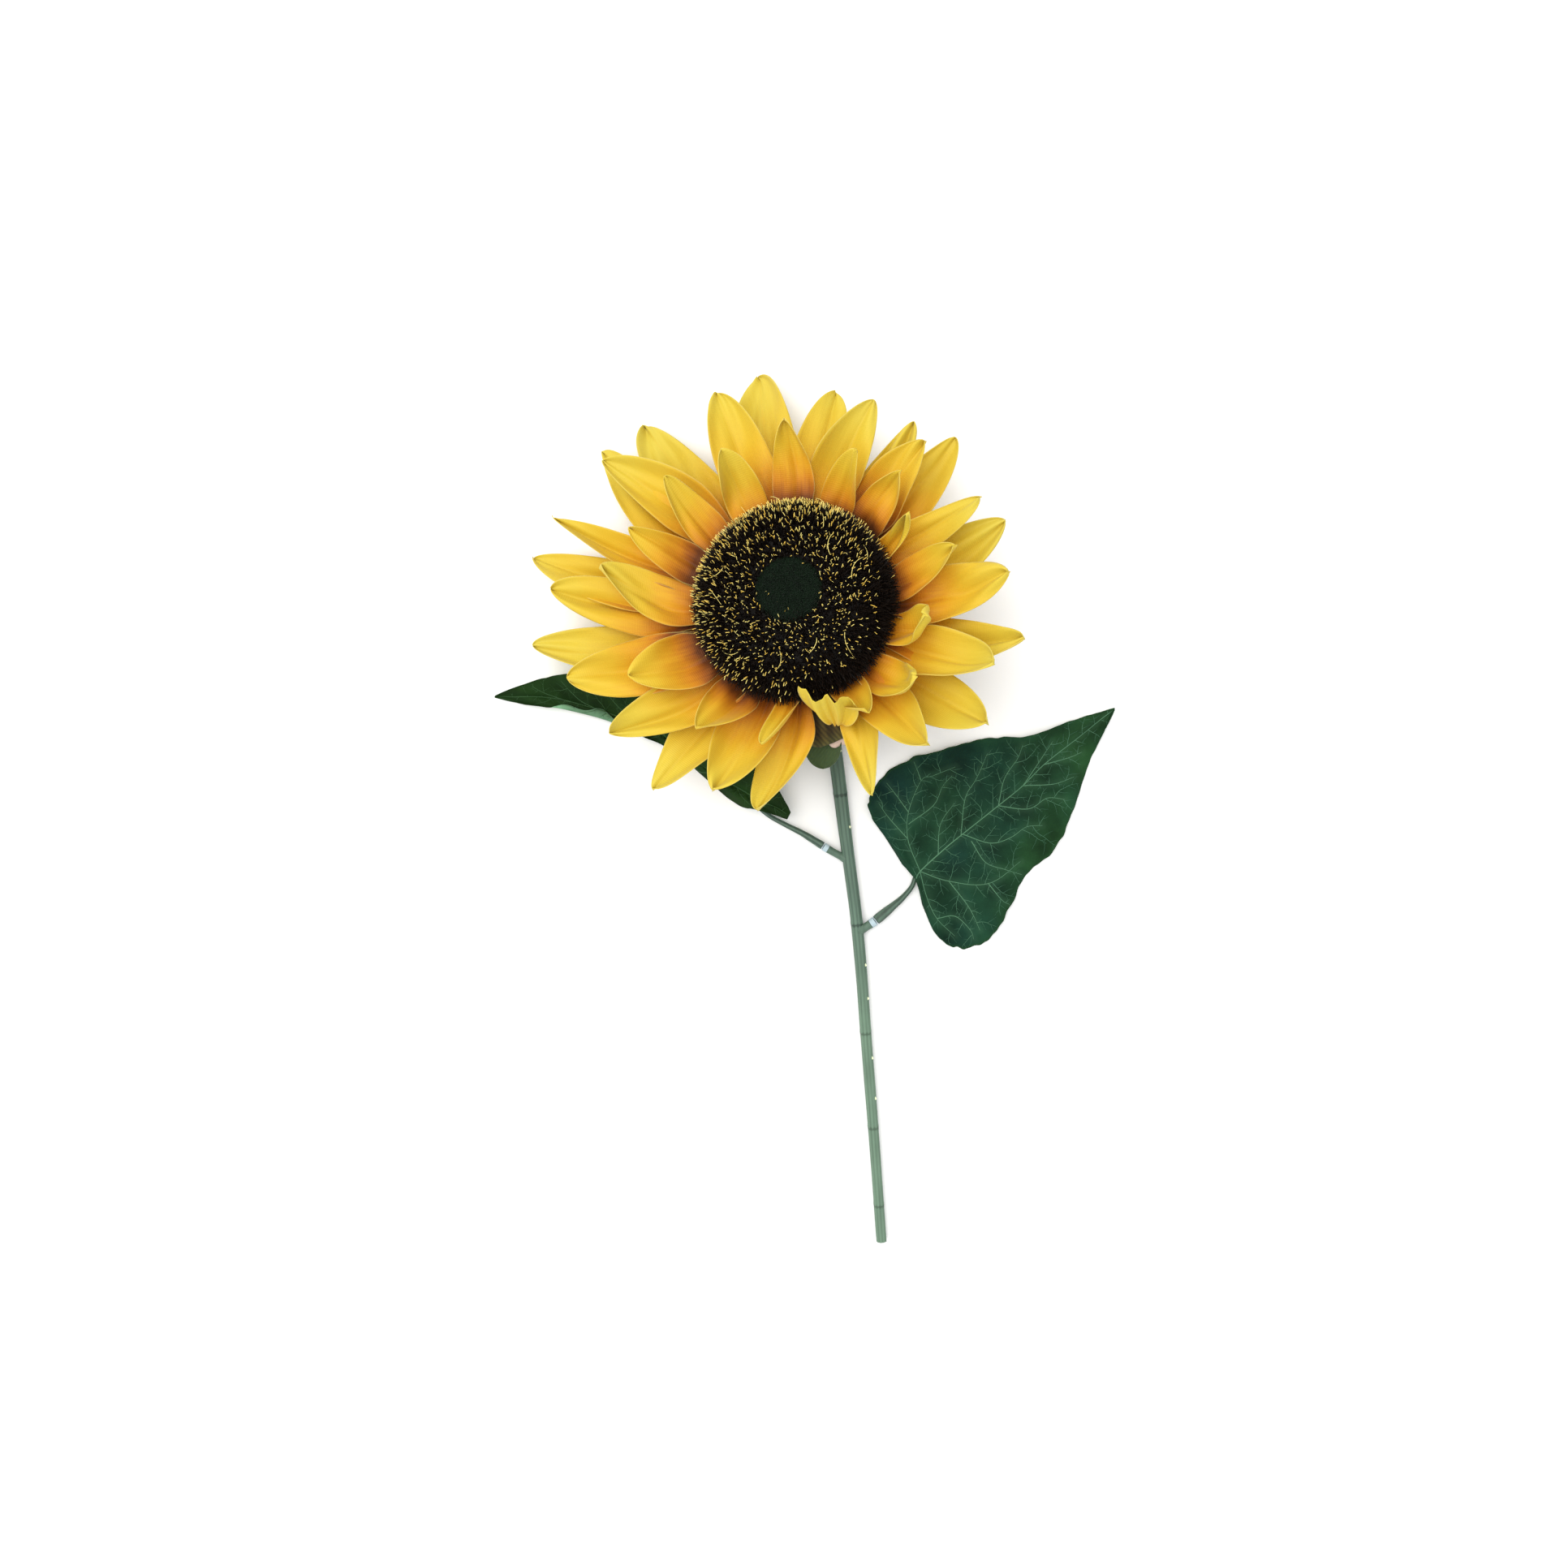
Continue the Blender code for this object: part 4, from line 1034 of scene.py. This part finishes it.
sepal_cloth = Finish("sepal cloth", sheen_weight=0.3, sheen_roughness=0.5,
                     specular_ior_level=0.25)
cloth = sepal_cloth.node("ShaderNodeUVMap", {"uv_map": "cloth"})
mottle = sepal_cloth.noise(cloth, 240.0, 3.0)
sepal_green = sepal_cloth.mix((0.024, 0.0496, 0.0144), (0.06, 0.1, 0.032), mottle)
sepal_cloth.feed("Base Color", sepal_green)
sepal_cloth.feed("Roughness", 0.65 + mottle * 0.2)
DIAGONAL_BANDS = {"wave_type": "BANDS", "bands_direction": "DIAGONAL"}
twill = sepal_cloth.node("ShaderNodeTexWave", DIAGONAL_BANDS,
                         {"Vector": cloth, "Scale": 360.0, "Distortion": 0.6})
sepal_cloth.bump(twill, 0.00015, 0.6)
sepals = petal_ring("sepals_cloth", SEPALS, SEPAL_LEVEL, SEPAL_HUB, SEPAL_ROOT_HALF,
                    bluntness=12.0, creasing=0.4, seed=5)
sepals.data.materials.append(sepal_cloth.material)
thicken(sepals, PETAL_THICK)
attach(sepals, "root")
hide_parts("sepal_ring")

# ---------------------------------------------------------------- calyx
# A disc of ribbed cloth, with a ragged edge, stiffens the flower behind its petals. Its dark
# olive-brown is painted shade on green cloth, darker still between the ribs as painted shade, and
# lighter and greener at the rim.
CALYX_PROFILE = [(2.4, 0.0), (18.0, -0.2), (36.0, -1.6), (55.0, -5.0)]
CALYX_LEVEL = -1.2 * MM
CALYX_ROWS, CALYX_SIDES = 40, 240
CALYX_RIBS = 60
RAG_STEP = 3                            # sides between one rag of the edge and the next
calyx_draw = random.Random(3)
rag_places = np.arange(0, CALYX_SIDES + 1, RAG_STEP)
ragged = np.interp(np.arange(CALYX_SIDES), rag_places,
                   [calyx_draw.uniform(-1.2, 0.8) for _ in rag_places])
ragged[-RAG_STEP:] = ragged[0]
radii = np.linspace(CALYX_PROFILE[0][0], CALYX_PROFILE[-1][0], CALYX_ROWS)
heights = np.interp(radii, *zip(*CALYX_PROFILE))
turn = np.arange(CALYX_SIDES) * 2 * math.pi / CALYX_SIDES
far = radii[:, None] + ragged[None, :] * (radii[:, None] / radii[-1])**12
rib_wave = 0.22 * np.cos(CALYX_RIBS * turn)[None, :] * ease(radii / 30.0)[:, None]
calyx_places = np.stack([far * np.cos(turn), far * np.sin(turn),
                         heights[:, None] + rib_wave], -1) * MM
calyx_places[..., 2] += CALYX_LEVEL
calyx_grid = np.arange(CALYX_ROWS * CALYX_SIDES).reshape(CALYX_ROWS, CALYX_SIDES)
calyx_mesh = open_mesh("calyx_ribbed_cloth", on_head(calyx_places.reshape(-1, 3)),
                       quads_of(calyx_grid, closed=True),
                       outward=np.repeat(np.linspace(0, 1, CALYX_ROWS), CALYX_SIDES),
                       round=np.tile(np.cos(CALYX_RIBS * turn), CALYX_ROWS))
face_up(calyx_mesh)
calyx = in_scene("calyx_ribbed_cloth", calyx_mesh)

calyx_shade_cloth = Finish("olive ribbed cloth", sheen_weight=0.3, sheen_roughness=0.5,
                     specular_ior_level=0.25)
outward, ribbing = calyx_shade_cloth.attribute("outward"), calyx_shade_cloth.attribute("round")
fibres = calyx_shade_cloth.noise(calyx_shade_cloth.place(), 900.0, 3.0)
cords = calyx_shade_cloth.node("ShaderNodeTexWave", DIAGONAL_BANDS,
                         {"Vector": calyx_shade_cloth.place(), "Scale": 260.0, "Distortion": 0.8})
# Painted shade: the face is dark olive-brown, darker between the ribs, and lifted towards a
# lighter green at the rim.
calyx_colour_and_shade = calyx_shade_cloth.mix((0.032, 0.0208, 0.0048), (0.076, 0.0544, 0.0128),
                        ribbing.smooth(-0.6, 0.8))
calyx_colour_and_shade = calyx_shade_cloth.mix(calyx_colour_and_shade, (0.088, 0.096, 0.024), outward.smooth(0.9, 1.0) * 0.4)
calyx_shade_cloth.feed("Base Color", calyx_shade_cloth.tint(calyx_colour_and_shade, fibres * 0.4 + cords * 0.6, 0.5))
calyx_shade_cloth.feed("Roughness", 0.7 + fibres * 0.15)
calyx_shade_cloth.bump(fibres * 0.4 + cords * 0.6, 0.0002, 0.5)
calyx_mesh.materials.append(calyx_shade_cloth.material)
thicken(calyx, PETAL_THICK)
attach(calyx, "root")
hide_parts("calyx_disc")

# The disc's pale pink backing is a paper-thin film. It has come away from the ragged edge under
# the gap in the petals, and hangs a little below it.
backing_finish = Finish("pale pink backing", roughness=0.6, specular_ior_level=0.2)
crumple = backing_finish.noise(backing_finish.place(), 300.0, 3.0)
faded_pink = backing_finish.mix((0.496, 0.336, 0.264), (0.64, 0.512, 0.432), crumple)
backing_finish.feed("Base Color", faded_pink)
backing_finish.bump(crumple, 0.0004, 0.6)
BACKING_FIRST, BACKING_LAST = 283.0, 308.0              # degrees round the head
BACKING_INNER, BACKING_OUTER = 44.0, 57.2               # mm from the peg
BACKING_BELOW, BACKING_SAG = 0.75, 1.6                  # under the disc, and at the edge, mm
BACKING_THICK = 0.15 * MM
backing_turn, backing_out = np.meshgrid(np.linspace(0, 1, 40), np.linspace(0, 1, 16))
backing_edge = (BACKING_OUTER - 2.4 * (1 - np.sin(math.pi * backing_turn)**0.5)
                + 0.5 * np.sin(backing_turn * 23.0))
backing_radius = BACKING_INNER + (backing_edge - BACKING_INNER) * backing_out
backing_angle = np.radians(BACKING_FIRST + (BACKING_LAST - BACKING_FIRST) * backing_turn)
backing_height = (np.interp(backing_radius, *zip(*CALYX_PROFILE)) - BACKING_BELOW
                  - BACKING_SAG * backing_out**6)
backing_spots = np.stack([
    backing_radius * np.cos(backing_angle), backing_radius * np.sin(backing_angle),
    backing_height + CALYX_LEVEL / MM], -1) * MM
backing_grid = np.arange(backing_turn.size).reshape(backing_turn.shape)
backing_mesh = open_mesh("calyx_backing", on_head(backing_spots.reshape(-1, 3)),
                         quads_of(backing_grid))
face_up(backing_mesh)
backing_mesh.materials.append(backing_finish.material)
backing = in_scene("calyx_backing", backing_mesh)
thicken(backing, BACKING_THICK)
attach(backing, "root")

# ---------------------------------------------------------------- bristle disc
# The seed head is a dome of stiff dark bristles set in a moulded bed. About one in seven has a
# golden tip, thickest on the far and left sides, where the light falls, and missing from the near
# right flank; this is partly real and partly painted light and shade.
BED_PROFILE = [                         # radius and height on the head, from the middle out
    (12.0, 25.6), (12.2, 27.1), (18.6, 26.3), (26.4, 23.9), (33.0, 18.7), (35.8, 12.6),
    (36.0, 9.6), (35.0, 8.6),
]
BED_SIDES = 72
DARK_COUNT, GOLD_COUNT = 12000, 2100
DARK_LENGTH, GOLD_LENGTH = (3.2, 5.8), (4.6, 6.3)       # shortest and longest, mm
BRISTLE_RADIUS, GOLD_RADIUS = 0.15 * MM, 0.19 * MM
BRISTLE_LEAN, GOLD_LEAN = 0.42, 0.50    # how far a bristle leans from upright, as a slope
BED_TURNS = np.arange(BED_SIDES) * 2 * math.pi / BED_SIDES
# How thickly gold grows at each point of the profile and on each side of the head: all over the
# top, on the far and left sides down to the bed's foot, and not on the near right flank. More
# gold on the lit sides and none on the shaded flank is partly painted light and shade.
flank = np.clip(0.75 - 0.85 * np.cos(BED_TURNS + math.radians(25)), 0, 1)
foot = np.clip(0.10 - 1.10 * np.cos(BED_TURNS + math.radians(60)), 0, 1)
fuzz = 2.2 * np.clip(np.sin(BED_TURNS + math.radians(-10)), 0, 1)**2
GOLD_SHARE = np.stack([0.5 + 0 * flank, *3 * [1.0 + 0 * flank], flank + 0.3 * fuzz,
                       foot + fuzz, 0.4 * foot + fuzz, 0 * foot])


def turned_bed(name, profile, sides, share=1.0):
    """An open turned surface on the head, with its faces outwards. share is how thickly
    bristles grow at each of its points."""
    turns = np.arange(sides) * 2 * math.pi / sides
    line = np.array(profile)
    spots = np.stack([line[:, :1] * np.cos(turns), line[:, :1] * np.sin(turns),
                      line[:, 1:] + 0 * turns], -1) * MM
    grid = np.arange(len(line) * sides).reshape(len(line), sides)
    mesh = open_mesh(name, on_head(spots.reshape(-1, 3)), quads_of(grid, closed=True),
                     share=share + np.zeros(grid.shape))
    face_up(mesh)
    return in_scene(name, mesh)


def wall_inside(piece, name, thickness):
    """Gives an open turned surface its wall, on the side away from its faces."""
    wall = piece.modifiers.new(name, "SOLIDIFY")
    wall.thickness = thickness
    wall.offset = -1.0


class Nodes:
    """A Geometry Nodes tree under construction, with named inputs."""

    def __init__(self, name, inputs):
        self.tree = bpy.data.node_groups.new(name, "GeometryNodeTree")
        face = self.tree.interface
        face.new_socket("Geometry", in_out="INPUT", socket_type="NodeSocketGeometry")
        face.new_socket("Geometry", in_out="OUTPUT", socket_type="NodeSocketGeometry")
        for label, kind in inputs.items():
            face.new_socket(label, in_out="INPUT", socket_type=f"NodeSocket{kind}")
        self.given = self.tree.nodes.new("NodeGroupInput")
        self.result = self.tree.nodes.new("NodeGroupOutput")

    def input(self, label):
        return self.given.outputs[label]

    def node(self, kind, settings=None, inputs=None, output=0):
        made = self.tree.nodes.new(kind)
        for key, value in (settings or {}).items():
            setattr(made, key, value)
        for key, value in (inputs or {}).items():
            if isinstance(value, bpy.types.NodeSocket):
                self.tree.links.new(value, made.inputs[key])
            else:
                made.inputs[key].default_value = value
        return made.outputs[output]

    def finish(self, geometry):
        self.tree.links.new(geometry, self.result.inputs[0])


def random_between(nodes, low, high, seed):
    """A number drawn for each instance."""
    return nodes.node("FunctionNodeRandomValue", {"data_type": "FLOAT"},
                      {2: low, 3: high, "Seed": seed}, 1)


def bristle_nodes():
    """Scatters tapered bristles over a bed, leaning at random, with a length and a gold
    share for each, and a height attribute along each one."""
    nodes = Nodes("bristles", {
        "Per square metre": "Float", "Shortest": "Float", "Longest": "Float",
        "Radius": "Float", "Lean": "Float", "Gold": "Float", "Seed": "Int",
        "Segments": "Int", "Finish": "Material"})
    share = nodes.node("GeometryNodeInputNamedAttribute", {"data_type": "FLOAT"},
                       {"Name": "share"})
    density = nodes.node("ShaderNodeMath", {"operation": "MULTIPLY"},
                         {0: share, 1: nodes.input("Per square metre")})
    spots = nodes.node("GeometryNodeDistributePointsOnFaces", {}, {
        "Mesh": nodes.input("Geometry"), "Density": density, "Seed": nodes.input("Seed")})
    scatter = spots.node
    lean = nodes.node("FunctionNodeRandomValue", {"data_type": "FLOAT_VECTOR"},
                      {0: (-1, -1, -1), 1: (1, 1, 1), "Seed": 3})
    leaning = nodes.node("ShaderNodeVectorMath", {"operation": "SCALE"},
                         {0: lean, "Scale": nodes.input("Lean")})
    heading = nodes.node("ShaderNodeVectorMath", {"operation": "ADD"},
                         {0: scatter.outputs["Normal"], 1: leaning})
    turned = nodes.node("FunctionNodeAlignRotationToVector", {"axis": "Z"},
                        {"Vector": heading})
    cone = nodes.node("GeometryNodeMeshCone", {"fill_type": "NGON"}, {
        "Vertices": 4, "Side Segments": nodes.input("Segments"), "Radius Top": 0.7,
        "Radius Bottom": 1.0, "Depth": 1.0})
    place = nodes.node("GeometryNodeInputPosition")
    height = nodes.node("ShaderNodeSeparateXYZ", {}, {0: place}, 2)
    marked = nodes.node("GeometryNodeStoreNamedAttribute", {"data_type": "FLOAT"},
                        {"Geometry": cone, "Name": "height", "Value": height})
    length = random_between(nodes, nodes.input("Shortest"), nodes.input("Longest"), 7)
    size = nodes.node("ShaderNodeCombineXYZ", {}, {
        0: nodes.input("Radius"), 1: nodes.input("Radius"), 2: length})
    planted = nodes.node("GeometryNodeInstanceOnPoints", {}, {
        "Points": spots, "Instance": marked, "Rotation": turned, "Scale": size})
    tone = random_between(nodes, 0.0, 1.0, 9)
    toned = nodes.node("GeometryNodeStoreNamedAttribute",
                       {"data_type": "FLOAT", "domain": "INSTANCE"},
                       {"Geometry": planted, "Name": "tone", "Value": tone})
    gilded = nodes.node("GeometryNodeStoreNamedAttribute",
                        {"data_type": "FLOAT", "domain": "INSTANCE"},
                        {"Geometry": toned, "Name": "gold", "Value": nodes.input("Gold")})
    real = nodes.node("GeometryNodeRealizeInstances", {}, {"Geometry": gilded})
    nodes.finish(nodes.node("GeometryNodeSetMaterial", {}, {
        "Geometry": real, "Material": nodes.input("Finish")}))
    return nodes.tree


def scattered(name, bed, tree, **inputs):
    """The mesh that a tree makes on a bed. The bed itself is left as it was."""
    grower = bed.modifiers.new(name, "NODES")
    grower.node_group = tree
    for item in tree.interface.items_tree:
        key = item.name.lower().replace(" ", "_")
        if key in inputs and item.in_out == "INPUT":
            grower[item.identifier] = inputs[key]
    bpy.context.view_layer.update()
    graph = bpy.context.evaluated_depsgraph_get()
    mesh = bpy.data.meshes.new_from_object(bed.evaluated_get(graph))
    bed.modifiers.remove(grower)
    return mesh


bristle_finish = Finish("bristles", specular_ior_level=0.2)
height, gold = bristle_finish.attribute("height"), bristle_finish.attribute("gold")
tone = bristle_finish.attribute("tone")
dark = bristle_finish.mix((0.002, 0.001, 0.001), (0.012, 0.006, 0.003), tone)
bright = bristle_finish.mix((0.92, 0.58, 0.08), (1.0, 0.88, 0.30), tone)
gilt = gold * height.smooth(0.66, 0.76)
bristle_finish.feed("Base Color", bristle_finish.mix(dark, bright, gilt))
bristle_finish.feed("Roughness", 0.45 + tone * 0.2)

bed = turned_bed("bristle_bed", BED_PROFILE, BED_SIDES)
gold_bed = turned_bed("gold_bed", BED_PROFILE, BED_SIDES, GOLD_SHARE)
growing = bristle_nodes()
dark_mesh = scattered("dark", bed, growing, per_square_metre=DARK_COUNT / sheet_area(bed.data),
                      shortest=DARK_LENGTH[0] * MM, longest=DARK_LENGTH[1] * MM,
                      radius=BRISTLE_RADIUS, lean=BRISTLE_LEAN, gold=0.0, seed=1, segments=1,
                      finish=bristle_finish.material)
gold_mesh = scattered("gold", gold_bed, growing,
                      per_square_metre=GOLD_COUNT / sheet_area(gold_bed.data),
                      shortest=GOLD_LENGTH[0] * MM, longest=GOLD_LENGTH[1] * MM,
                      radius=GOLD_RADIUS, lean=GOLD_LEAN, gold=1.0, seed=2, segments=5,
                      finish=bristle_finish.material)
bpy.data.objects.remove(gold_bed)

bed_finish = Finish("bristle bed", base_color=(0.006, 0.004, 0.003, 1.0))
bed_finish.feed("Roughness", 0.8 + bed_finish.noise(bed_finish.place(), 800.0) * 0.15)
bed.data.materials.append(bed_finish.material)
wall_inside(bed, "bed", 0.4 * MM)
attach(bed, "root")
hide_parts("bristle_pile")
for name, mesh in (("bristles_dark", dark_mesh), ("bristles_gold", gold_mesh)):
    mesh.name = name
    tuft = in_scene(name, mesh)
    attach(tuft, "root")
    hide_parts("bristle_pile")

# ---------------------------------------------------------------- stray fibres
# A few long golden fibres have worked loose and lie over the tips of the others.
STRAYS = [                              # angle and radius of the root, heading, length (mm)
    (38, 20, 118, 9.0), (62, 27, 84, 7.5), (8, 24, 95, 10.0), (21, 31, 70, 7.0),
    (176, 31, 305, 9.5), (160, 27, 250, 8.0), (196, 33, 140, 6.5), (-38, 27, 262, 9.0),
    (140, 34, 100, 8.0), (70, 36, 75, 6.5), (97, 37, 105, 6.0), (230, 30, 215, 7.0),
    (118, 36, 128, 6.5), (262, 30, 30, 6.0), (300, 22, 280, 6.5),
]
STRAY_STEPS = 8
STRAY_RADIUS, STRAY_TAPER = 0.16 * MM, 0.06             # the taper is for each step
STRAY_CLEAR = 4.3                       # how far a fibre lies over the bed, mm
STRAY_CORNERS = (0.0, 2.1, 4.2)         # of its three-cornered section, in radians
stray_draw = random.Random(21)
tops = np.array(BED_PROFILE[:-2])       # the part of the bed that faces up
stray_shape = new_shape("height", "gold", "tone")
for angle, radius, heading, length in STRAYS:
    angle, heading = math.radians(angle), math.radians(heading)
    bend = stray_draw.uniform(-0.9, 0.9)
    rise = stray_draw.uniform(0.6, 2.2)
    spot = np.array([radius * math.cos(angle), radius * math.sin(angle)])
    line = []
    for share in np.linspace(0, 1, STRAY_STEPS + 1):
        here = spot + length * share * np.array([math.cos(heading + bend * share),
                                                 math.sin(heading + bend * share)])
        bed_height = np.interp(np.linalg.norm(here), tops[:, 0], tops[:, 1])
        lift = STRAY_CLEAR + rise * math.sin(math.pi * share * 0.8)
        line.append([*here, bed_height + lift])
    line = on_head(np.array(line) * MM)
    one, two = sections_along(line)
    loops = []
    for number, place in enumerate(line):
        thick = STRAY_RADIUS * (1.0 - STRAY_TAPER * number)
        corners = [one[number] * math.cos(turn) + two[number] * math.sin(turn)
                   for turn in STRAY_CORNERS]
        loops.append([stray_shape.verts.new(place + thick * corner) for corner in corners])
    for low, high in zip(loops, loops[1:]):
        for i in range(3):
            stray_shape.faces.new((low[i], low[(i + 1) % 3], high[(i + 1) % 3], high[i]))
    stray_shape.faces.new(loops[0])
    stray_shape.faces.new(loops[-1])
for label, value in (("height", 1.0), ("gold", 1.0), ("tone", 0.8)):
    layer = stray_shape.verts.layers.float[label]
    for vert in stray_shape.verts:
        vert[layer] = value
strays = finished("bristles_stray", stray_shape, bristle_finish, smooth_angle=180)
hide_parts("bristle_pile")

# ---------------------------------------------------------------- centre button
# A shallow plastic button covered in dark green flock is pressed into the middle.
BUTTON_PROFILE = [(0.05, 27.9), (4.0, 28.0), (8.0, 28.3), (10.6, 28.6), (11.4, 28.2),
                  (11.6, 27.3)]
FLOCK_COUNT = 5200
flock_finish = Finish("dark green flock", sheen_weight=0.08, sheen_roughness=0.4,
                      specular_ior_level=0.1)
flock_tone = flock_finish.attribute("tone")
clumps = flock_finish.noise(flock_finish.place(), 420.0, 3.0)
flock_green = flock_finish.mix((0.0016, 0.0048, 0.0024), (0.0136, 0.0336, 0.0144), clumps)
flock_finish.feed("Base Color", flock_finish.tint(flock_green, flock_tone, 0.5))
flock_finish.feed("Roughness", 0.75 + clumps * 0.2)
button = turned_bed("button_base", BUTTON_PROFILE, 48)
flock_density = FLOCK_COUNT / sheet_area(button.data)
flock_mesh = scattered("flock", button, growing, per_square_metre=flock_density,
                       shortest=0.9 * MM, longest=1.9 * MM, radius=0.09 * MM, lean=0.9,
                       gold=0.0, seed=4, segments=1, finish=flock_finish.material)
button.data.materials.append(flock_finish.material)
wall_inside(button, "button", 0.6 * MM)
flock = in_scene("button_flock", flock_mesh)
for piece in (button, flock):
    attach(piece, "root")
    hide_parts("centre_button")

# ---------------------------------------------------------------- table, light and camera
# A pale table under soft studio light, seen from straight above.
CAMERA_HEIGHT = 0.50
CAMERA_LENS = 27.0
TABLE_SIZE = 6.0
SOFTBOX_PLACE, SOFTBOX_AIM = Vector((-0.45, 0.20, 1.25)), Vector((0.0, 0.05, 0.0))
SOFTBOX_SIZE, SOFTBOX_POWER = 1.3, 14.0                 # metres and watts
STUDIO_LIGHT = 0.96                     # from all round
table_shape = bmesh.new()
bmesh.ops.create_grid(table_shape, x_segments=1, y_segments=1, size=TABLE_SIZE / 2)
table_mesh = bpy.data.meshes.new("table")
table_shape.to_mesh(table_mesh)
table_shape.free()
table = in_scene("table", table_mesh)
pale = Finish("pale table", base_color=(0.96, 0.96, 0.96, 1.0), roughness=0.8)
table_mesh.materials.append(pale.material)

softbox = bpy.data.lights.new("key", "AREA")
softbox.shape = "SQUARE"
softbox.size = SOFTBOX_SIZE
softbox.energy = SOFTBOX_POWER
softbox.color = (1.0, 0.99, 0.96)
lamp = in_scene("key", softbox)
lamp.location = SOFTBOX_PLACE
lamp.rotation_euler = (SOFTBOX_AIM - SOFTBOX_PLACE).to_track_quat("-Z", "Y").to_euler()
world = bpy.data.worlds.new("studio")
world.use_nodes = True
background = world.node_tree.nodes["Background"]
background.inputs["Color"].default_value = (1.0, 1.0, 1.0, 1.0)
background.inputs["Strength"].default_value = STUDIO_LIGHT
bpy.context.scene.world = world
bpy.context.scene.view_settings.view_transform = "Standard"

lens = bpy.data.cameras.new("camera")
lens.lens = CAMERA_LENS
lens.sensor_width = 36.0
camera = in_scene("camera", lens)
camera.location = (DRAWN_TO_FRAME.x, DRAWN_TO_FRAME.y, CAMERA_HEIGHT)
bpy.context.scene.camera = camera
